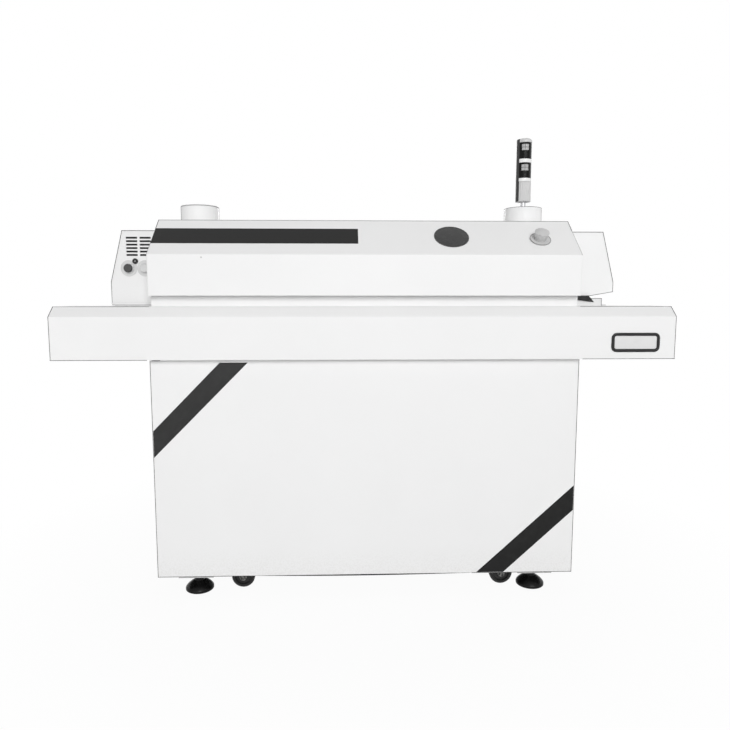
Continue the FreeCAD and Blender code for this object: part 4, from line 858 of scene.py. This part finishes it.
# a ribbed strip: a flat foot under a row of half-sine ribs, carried along the rim with a slight waver
def addGasket(width, gap, ribs, ribHeight, ribFill, toe, toeSlope, points, stations, sag, waves):
    low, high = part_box("hood_gasket")
    across = np.linspace(0, 1, points)
    ribbed = ribHeight * ribFill * np.abs(np.sin(np.pi * ribs * across))
    toes = np.clip(np.minimum(across, 1 - across) * toeSlope, toe, 1)
    top = (high.z - low.z - ribHeight + ribbed) * toes
    inwards = np.concatenate([across, across[::-1]]) * width + gap
    z = low.z + np.concatenate([np.zeros_like(top), top[::-1]])
    x = np.linspace(low.x, high.x, stations)[:, None]
    strips = []
    for side in (-1, 1):
        waver = sag * np.sin(x * waves[0] + side) * np.sin(x * waves[1])
        strips.append(loft(pointGrid(x, side * (high.y - inwards) + waver, z)))
    made = addPiece("ribbedGasket", join(*strips), "base", "seal_grey")
    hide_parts("hood_gasket")


addGasket(**gasket)

sillLow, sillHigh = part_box("tunnel_sills")
flap = {"corners": ((0.664, 0.9435), (0.754, 0.932), (0.735, 0.954), (0.664, 0.9505)), "gap": 0.0016,
        "thickness": 0.002, "bow": 0.004, "bowLoss": 0.5, "rows": 14, "columns": 8}


# four corners blended across a grid, bowed outwards in the middle and less so towards the top
def addFlap(corners, gap, thickness, bow, bowLoss, rows, columns):
    u, v = np.linspace(0, 1, rows)[:, None], np.linspace(0, 1, columns)
    weights = np.stack([(1 - u) * (1 - v), u * (1 - v), u * v, (1 - u) * v], -1)
    flat = weights @ np.array(corners)
    y = sillLow.y - gap - bow * np.sin(np.pi * u) * (1 - bowLoss * v)
    made = addPiece("exitFlap", sheet(pointGrid(flat[..., 0], y, flat[..., 1])), "base", "black_rubber")
    thicken(made, thickness)


addFlap(**flap)
print("seals made")


# Duct collars: spun tubes, the left one open with a rolled rim, the right one with a lid

collar = {"radius": 0.0605, "wall": 0.0015, "sides": 96,
          "rolled": {"bead": 0.0022, "steps": 12, "throat": 2.2, "neck": 2.4, "necking": 0.0001,
                     "flare": 0.004},
          "lid": {"rise": 0.003, "edge": 0.0006, "reach": 0.98, "steps": 10},
          "cord": 0.0007, "cordSink": 0.4, "cordSides": 8, "shadeLineRadius": 0.0008,
          "shadeLineTurns": ((-2.87, 0.17), (-3.37, -0.323))}


# a rolled bead at the top, between a throat and a neck a few bead radii below it
def openProfile(radius, inner, height, bead, steps, throat, neck, necking, flare):
    turn = np.linspace(np.pi, -np.pi / 2, steps)
    roll = np.column_stack([radius - bead + bead * np.cos(turn), height - bead + bead * np.sin(turn)])
    inside = [(inner, 0), (inner, height - throat * bead)]
    outside = [(radius - necking, height - neck * bead), (radius, flare), (radius, 0)]
    return np.vstack([inside, roll, outside])


# a lid that rises towards its middle as the sine of a quarter turn
def lidProfile(radius, inner, height, rise, edge, reach, steps):
    share = np.linspace(0, 1, steps)
    lid = np.column_stack([inner * (1 - reach * share), height - rise + rise * np.sin(share * np.pi / 2)])
    return np.vstack([[(radius, 0), (radius, height - rise - edge), (radius - edge, height - rise)], lid])


# both collars; a thin dark ring of painted shade runs round each rim, and two dark lines of painted shade run
# up each wall
def addCollars(radius, wall, sides, rolled, lid, cord, cordSink, cordSides, shadeLineRadius, shadeLineTurns):
    low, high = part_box("duct_collars")
    left, right, y = low.x + radius, high.x - radius, low.y + radius
    size = (radius, radius - wall, high.z - low.z)
    tubes = join(put(lathe(openProfile(*size, **rolled), sides, True), (left, y, low.z), topFace),
                 put(lathe(lidProfile(*size, **lid), sides), (right, y, low.z), topFace))
    made = addPiece("ductCollars", tubes, "hood", "white_paint", smoothTo=50)
    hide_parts("duct_collars")
    sink = cord * cordSink
    ring = lathe(circle(cord, cordSides, (radius - sink, 0)), sides, True)
    tops = (high.z - rolled["bead"] - cord, high.z - lid["rise"] - sink)
    rings, shadeLinePaths = [], []
    for x, top, turns in zip((left, right), tops, shadeLineTurns):
        rings.append(put(ring, (x, y, top), topFace))
        for angle in turns:
            place = (x + radius * math.cos(angle), y + radius * math.sin(angle))
            shadeLinePaths.append([(*place, low.z), (*place, top)])
    collarLines = join(*rings, shadeLines(shadeLinePaths, shadeLineRadius))
    addPiece("collarShadeLines", collarLines, "hood", "black_rubber", shadowGrey, smoothTo=60)


addCollars(**collar)
print("collars spun")


# Signal tower: fluted foot, ribbed lenses with pale panes of painted highlight, spacer rings, a domed cap and
# a dark band of painted shade down its left side

towerLow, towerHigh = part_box("lamp_base")
towerX, towerY = middle(towerLow, towerHigh)[:2]
towerRadius = (towerHigh.x - towerLow.x) / 2


def aboutTower(r, angle, z):
    return pointGrid(towerX + r * np.cos(angle), towerY + r * np.sin(angle), z)


# rises from 0 to 1 and comes back as a cosine, so many times in a turn
def dips(count, angle):
    return 0.5 - 0.5 * np.cos(count * angle)


towerFoot = {"flutes": 26, "fluteSteps": 8, "depth": 0.0011, "edge": 0.0025, "edgeSteps": 5}


# the radius dips in each flute; both ends draw in over a rounded edge
def addTowerFoot(flutes, fluteSteps, depth, edge, edgeSteps):
    angle = fullTurn(flutes * fluteSteps)
    turn = np.linspace(0, np.pi / 2, edgeSteps)
    drawn, rise = edge * (1 - np.sin(turn)), edge * (1 - np.cos(turn))
    z = np.concatenate([towerLow.z + rise, (towerHigh.z - rise)[::-1]])[:, None]
    ends = np.concatenate([drawn, drawn[::-1]])[:, None]
    rings = aboutTower(towerRadius - ends - depth * dips(flutes, angle), angle, z)
    made = addPiece("towerFoot", loft(rings), "hood", "tower_grey", smoothTo=50)
    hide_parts("lamp_base")


addTowerFoot(**towerFoot)

lensLow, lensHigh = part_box("lamp_lenses")
lensHeights = {"lower": 0.050, "upper": 0.053}
lensBands = ((lensLow.z, lensLow.z + lensHeights["lower"]), (lensHigh.z - lensHeights["upper"], lensHigh.z))
lensRadius = (lensHigh.x - lensLow.x) / 2
lens = {"ribs": 60, "ribSteps": 4, "ribDepth": 0.00025, "rings": 14, "ringSteps": 4, "ringDepth": 0.0003,
        "endDraw": 0.0012, "endSlope": 25}


# fine upright ribs round each lens and shallow rings along it
def addLenses(ribs, ribSteps, ribDepth, rings, ringSteps, ringDepth, endDraw, endSlope):
    angle = fullTurn(ribs * ribSteps)
    share = np.linspace(0, 1, rings * ringSteps + 1)[:, None]
    ends = endDraw * np.clip(1 - np.minimum(share, 1 - share) * endSlope, 0, 1) ** 2
    r = lensRadius - ends - ribDepth * dips(ribs, angle) - ringDepth * dips(rings, 2 * np.pi * share)
    shapes = [loft(aboutTower(r, angle, bottom + share * (top - bottom))) for bottom, top in lensBands]
    made = addPiece("towerLenses", join(*shapes), "hood", "tower_lens", smoothTo=60)
    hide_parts("lamp_lenses")


addLenses(**lens)

highlightPanes = {"sides": 4, "rows": 2, "reach": 0.94, "gap": 0.03, "turn": -0.115, "drop": 0.0065, "height": 0.0094,
         "between": 0.0008, "lift": 0.0003, "sink": 0.0008, "bevel": 0.03, "steps": 7}


# pale panes of painted highlight on each side of a lens: two by two panes that follow the lens's curve
def addHighlightPanes(sides, rows, reach, gap, turn, drop, height, between, lift, sink, bevel, steps):
    arc = np.linspace(0, 1, steps)[:, None] * (reach - gap) / 2
    r = lensRadius + np.array([-sink, lift, lift, -sink])
    depth = height * np.array([0, bevel, 1 - bevel, 1])
    turns = turn + (np.arange(sides) * 2 / sides - 0.5) * np.pi
    starts = np.add.outer(turns, (-(reach + gap) / 2, gap / 2)).ravel()
    drops = drop + np.arange(rows) * (height + between)
    shapes = [loft(aboutTower(r, start + arc, top - down - depth))
              for _, top in lensBands for start in starts for down in drops]
    addPiece("lensHighlightPanes", join(*shapes), "hood", "tower_light", paleLensAndHighlight, smoothTo=40)


addHighlightPanes(**highlightPanes)

towerCap = {"shoulder": 0.002, "edge": 0.0008, "edgeSteps": 4, "fullness": 0.62, "closed": 0.985, "steps": 14,
            "hole": 0.02, "sides": 64}


# pale spacer rings, and a grey dome: cosine and sine of a quarter turn, raised to a power that fills it out
def addTowerCap(shoulder, edge, edgeSteps, fullness, closed, steps, hole, sides):
    low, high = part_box("lamp_caps")
    radius, axis, rings = (high.x - low.x) / 2, (towerX, towerY, 0), []
    for bottom, top in ((low.z, lensBands[0][0]), (lensBands[0][1], lensBands[1][0])):
        corners = [(0.0, bottom), (radius, bottom), (radius, top), (0.0, top)]
        section = roundCorners(corners, edge, edgeSteps, False)
        section[[0, -1], 0] = radius * hole
        rings.append(put(lathe(section, sides), axis, topFace))
    made = addPiece("towerRings", join(*rings), "hood", "tower_light", smoothTo=50)
    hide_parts("lamp_caps")
    turn = np.linspace(0, np.pi / 2 * closed, steps)
    base = lensBands[1][1]
    rise = high.z - base - shoulder
    dome = np.column_stack([radius * np.cos(turn) ** fullness,
                            base + shoulder + rise * np.sin(turn) ** fullness])
    cap = lathe(np.vstack([[(radius - edge, base), (radius, base + edge)], dome]), sides)
    addPiece("towerCap", put(cap, axis, topFace), "hood", "tower_grey", smoothTo=50)


addTowerCap(**towerCap)

towerShade = {"startTurn": 0.96, "endTurn": 2.18, "thickness": 0.0007, "edge": 0.2, "below": 0.001, "foot": 0.001,
         "under": 0.004, "steps": 25}


# a dark band of painted shade down the tower's left side: an arc of the tower's own radius, thinned towards
# both edges
def addTowerShade(startTurn, endTurn, thickness, edge, below, foot, under, steps):
    _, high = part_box("lamp_caps")
    share = np.linspace(0, 1, steps)[:, None]
    angle = -np.pi / 2 - startTurn - share * (endTurn - startTurn)
    proud = thickness * np.clip(np.minimum(share, 1 - share) / edge, 0, 1) ** 0.5
    r = towerRadius + proud * np.array([0, 1, 1, 0]) - below * np.array([1, 0, 0, 1])
    bottom, top = towerLow.z + foot, high.z - under
    rings = aboutTower(r, angle, np.array([bottom, bottom, top, top]))
    addPiece("towerShadeBand", loft(rings), "hood", "black_plastic", shadowGrey, smoothTo=50)


addTowerShade(**towerShade)
print("tower built")


# Tunnels: dark screen of painted shade behind the vents, grey strips of painted shade on the sills, skirts,
# dark lines of painted shade along edges, button bezels, buzzer's eye

tunnelLow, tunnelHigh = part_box("entry_tunnel")
ventShade = {"gap": 0.0035, "bar": {"x": (-0.778, -0.672), "z": (1.068, 1.148), "thickness": 0.002,
                                 "corner": 0.004, "edge": 0.0005}}


# a black sheet behind the vent slots: painted shade for the dark inside of the tunnel
def addVentShade(gap, bar):
    back = tunnelLow.y + gap + bar["thickness"]
    addPiece("ventShadeScreen", uprightBar(back, frontFace, **bar), "base", "black_rubber")


addVentShade(**ventShade)

sillTrim = {"shadeStrip": {"x": (-0.807, -0.664), "z": (0.9203, 0.9278), "thickness": 0.0012, "corner": 0.001,
                     "edge": 0.0004},
            "skirt": {"x": (-0.8185, -0.6655), "z": (0.9255, 0.9310), "thickness": 0.0008, "corner": 0.001,
                      "edge": 0.0004}}


# grey strips of painted shade on the outer faces of the entry sills, and the tunnel's skirts that hang over
# them
def addSillTrim(shadeStrip, skirt):
    front, rear, reach = sillLow.y, sillHigh.y, shadeStrip["thickness"]
    shadeStrips = join(uprightBar(front, frontFace, **shadeStrip), uprightBar(rear, rearFace, **shadeStrip))
    addPiece("sillShadeStrips", shadeStrips, "base", "legend_grey")
    skirts = join(uprightBar(front - reach, frontFace, **skirt), uprightBar(rear + reach, rearFace, **skirt))
    addPiece("entrySkirts", skirts, "base", "white_paint", shadedCoats["entry_tunnel"])


addSillTrim(**sillTrim)

edges = {"radius": 0.0008, "beam": {"inset": 0.0009, "sink": 0.0004, "bevelDepth": 0.035, "bevelRise": 0.030},
         "tunnel": {"bend": 0.998, "taper": 0.040, "exitLevel": 0.743, "exitTilt": 0.013},
         "exitSill": (0.700, 0.944)}


# along an end of the beam, its lower edge and the cabinet's corner; side is -1 on the left and 1 on the right
def endPaths(side, shadeStripEnd, inset, sink, bevelDepth, bevelRise):
    end, corner = side * (beamHigh.x - inset), side * panelHigh.x
    fold, face = beamLow.y + bevelDepth, beamLow.y + inset
    foldTop, bevelFoot = beamHigh.z - sink, beamHigh.z - bevelRise
    return [[(corner, fold, foldTop), (end, fold, foldTop), (end, face, bevelFoot), (end, face, beamLow.z)],
            [(end, beamLow.y, beamLow.z), (corner, beamLow.y, beamLow.z)],
            [(corner, panelLow.y, panelHigh.z), (corner, panelLow.y, panelLow.z),
             (shadeStripEnd, panelLow.y, panelLow.z)]]


# round the entry and the exit tunnel, as pairs of x and z
def tunnelOutlines(bend, taper, exitLevel, exitTilt):
    exitLow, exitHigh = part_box("exit_tunnel")
    skirtFoot = sillTrim["skirt"]["z"][0]
    entry = [(tunnelHigh.x, skirtFoot), (tunnelLow.x, skirtFoot), (tunnelLow.x, bend),
             (tunnelLow.x + taper, tunnelHigh.z), (tunnelHigh.x, tunnelHigh.z)]
    leaving = [(exitLow.x, exitLow.z), (exitLevel, exitLow.z), (exitHigh.x, exitLow.z + exitTilt),
               (exitHigh.x, bend), (exitHigh.x - taper, exitHigh.z), (exitLow.x, exitHigh.z)]
    return entry, leaving


# dark lines of painted shade along the outlines of beams, cabinet front, tunnels and exit sills, mirrored to
# the rear
def addEdgeShadeLines(radius, beam, tunnel, exitSill):
    shadeStripLeft, shadeStripRight = lowerShadeStrip["x"]
    paths = endPaths(-1, shadeStripLeft, **beam) + endPaths(1, shadeStripRight, **beam)
    paths += [[(x, tunnelLow.y, z) for x, z in outline] for outline in tunnelOutlines(**tunnel)]
    start, top = exitSill
    paths.append([(start, sillLow.y, top), (sillHigh.x, sillLow.y, top), (sillHigh.x, sillLow.y, beamHigh.z)])
    paths += [np.array(path) * (1, -1, 1) for path in paths]
    addPiece("edgeShadeLines", shadeLines(paths, radius), "base", "black_rubber", shadowGrey, smoothTo=60)


addEdgeShadeLines(**edges)

bezel = {"inner": 0.0138, "outer": 0.0154, "lift": 0.0074, "foot": 0.0016, "edge": 0.0006, "edgeSteps": 4,
         "sides": 64}


# a rounded ring section turned about each button's axis
def addBezels(inner, outer, lift, foot, edge, edgeSteps, sides):
    section = roundCorners([(inner, foot), (outer, foot), (outer, lift), (inner, lift)], edge, edgeSteps)
    places = []
    for button in ("button_left", "button_right"):
        x, _, z = middle(*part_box(button))
        places.append((x, tunnelLow.y, z))
    rings = repeat(lathe(section, sides, True), places, frontFace)
    addPiece("buttonBezels", rings, "base", "tower_chrome", smoothTo=50)


addBezels(**bezel)

eye = {"radius": 0.0025, "sink": 0.0022, "crown": 0.0012, "inner": 0.03, "steps": 8, "sides": 32}


# a small pale lens in the buzzer's mouth
def addBuzzerEye(radius, sink, crown, inner, steps, sides):
    low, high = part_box("panel_buzzer")
    x, _, z = middle(low, high)
    dome = lathe(np.vstack([[(radius, -crown)], domeProfile(radius, 0, crown, inner, steps)]), sides)
    lamp = put(dome, (x, low.y + sink, z), frontFace)
    addPiece("buzzerEye", lamp, "base", "tower_light", paleLensAndHighlight, smoothTo=50)


addBuzzerEye(**eye)
print("tunnels dressed")


# Rear and sides: fixing screws

screw = {"head": {"radius": 0.0045, "height": 0.0026, "socket": 0.0018, "depth": 0.0014, "sides": 12,
                  "crown": ((1, 0), (0.97, 0.45), (0.74, 0.85))},
         "margin": 0.016, "rear": (5, 4), "side": (3, 4)}


# a button head: a low crown, in shares of radius and height, that turns down into a round socket
def screwHead(radius, height, socket, depth, sides, crown):
    bore = [(socket, height), (socket, height - depth)]
    return lathe(np.vstack([np.array(crown) * (radius, height), bore]), sides)


# places spaced evenly round the edge of a panel, given in the panel's own two directions
def edgePlaces(low, high, margin, counts):
    left, right, bottom, top = low[0] + margin, high[0] - margin, low[1] + margin, high[1] - margin
    along = np.linspace(left, right, counts[0])
    up = np.linspace(bottom, top, counts[1])[1:-1]
    rows = [(place, level) for level in (bottom, top) for place in along]
    return rows + [(place, level) for place in (left, right) for level in up]


def addScrews(head, margin, rear, side):
    rearLow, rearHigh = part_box("rear_panel")
    sideLow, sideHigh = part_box("side_panels")
    rearPlaces = edgePlaces((rearLow.x, rearLow.z), (rearHigh.x, rearHigh.z), margin, rear)
    sidePlaces = edgePlaces((sideLow.y, sideLow.z), (sideHigh.y, sideHigh.z), margin, side)
    button = screwHead(**head)
    heads = join(repeat(button, [(x, -panelLow.y, z) for x, z in rearPlaces], rearFace),
                 repeat(button, [(sideLow.x, y, z) for y, z in sidePlaces], leftFace),
                 repeat(button, [(sideHigh.x, y, z) for y, z in sidePlaces], rightFace))
    addPiece("panelScrews", heads, "base", "zinc_steel", smoothTo=50)


addScrews(**screw)
print("rear and sides dressed")


# Light: weak even surroundings, a broad key from the front right, weaker ones at the sides and behind

lampAim = (0, 0, 0.75)
lamps = {
    "keyLight": {"place": (1.9, -11.4, 5.1), "size": 4.0, "power": 765.0},
    "frontLight": {"place": (-1.6, -7.0, 0.45), "size": 3.0, "power": 48.0},
    "lowLight": {"place": (-2.8, -3.6, 0.4), "size": 1.5, "power": 12.0},
    "leftLight": {"place": (-6.0, 1.5, 3.0), "size": 3.0, "power": 22.0},
    "rightLight": {"place": (6.0, 1.5, 3.0), "size": 3.0, "power": 30.0},
    "rearLight": {"place": (0.6, 7.0, 2.6), "size": 4.0, "power": 280.0},
}


def addLamp(name, place, size, power):
    light = bpy.data.lights.new(name, "AREA")
    light.shape = "SQUARE"
    light.size = size
    light.energy = power
    made = bpy.data.objects.new(name, light)
    back = unit(np.array(place) - np.array(lampAim))
    side = unit(np.cross((0, 0, 1), back))
    turn = Matrix(np.column_stack([side, np.cross(back, side), back]).tolist()).to_4x4()
    made.matrix_world = Matrix.Translation(place) @ turn
    bpy.context.scene.collection.objects.link(made)


for lampName, lampForm in lamps.items():
    addLamp(lampName, **lampForm)


# what the camera, gloss and glass look at, against what only lights the scene
def seenShare(tree):
    path = addNode(tree, "ShaderNodeLightPath").outputs
    seen = arithmetic(tree, "ADD", path["Is Camera Ray"], path["Is Glossy Ray"])
    return arithmetic(tree, "ADD", seen, path["Is Transmission Ray"], True)


surroundings = {"fill": 0.36, "seen": 1.0}


def addWorld(fill, seen):
    world = bpy.data.worlds.new("paleStudio")
    bpy.context.scene.world = world
    world.use_nodes = True
    tree = world.node_tree
    tree.nodes.clear()
    soft = addNode(tree, "ShaderNodeBackground", {"Color": grey(1.0), "Strength": fill})
    white = addNode(tree, "ShaderNodeBackground", {"Color": grey(1.0), "Strength": seen})
    mix = addNode(tree, "ShaderNodeMixShader", {0: seenShare(tree), 1: soft.outputs[0], 2: white.outputs[0]})
    addNode(tree, "ShaderNodeOutputWorld", {"Surface": mix.outputs[0]})


addWorld(**surroundings)

paleFloor = {"size": 40.0, "drop": 0.0004, "colour": 0.65, "glow": 0.95, "clearFrom": 0.7, "clearTo": 1.5}


# a pale floor that fades to the background's white away from the oven and keeps a soft shadow under it
def addFloor(size, drop, colour, glow, clearFrom, clearTo):
    corners = [(x, y, -drop) for x, y in rectangle(size, size).tolist()]
    mesh = bpy.data.meshes.new("floor")
    mesh.from_pydata(corners, [], [(0, 1, 2, 3)])
    floor = bpy.data.objects.new("floor", mesh)
    bpy.context.scene.collection.objects.link(floor)
    material = bpy.data.materials.new("paleFloor")
    material.use_nodes = True
    mesh.materials.append(material)
    tree = material.node_tree
    tree.nodes.clear()
    distance = vectorMath(tree, "LENGTH", {0: objectCoords(tree)}, "Value")
    glowing = spread(tree, distance, glow, 1.0, clearFrom, clearTo)
    share = arithmetic(tree, "MULTIPLY", glowing, seenShare(tree))
    matt = addNode(tree, "ShaderNodeBsdfDiffuse", {"Color": grey(colour)})
    white = addNode(tree, "ShaderNodeEmission", {"Color": grey(1.0), "Strength": 1.0})
    mix = addNode(tree, "ShaderNodeMixShader", {0: share, 1: matt.outputs[0], 2: white.outputs[0]})
    addNode(tree, "ShaderNodeOutputMaterial", {"Surface": mix.outputs[0]})


addFloor(**paleFloor)
bpy.context.scene.view_settings.view_transform = "Standard"
print("light set")
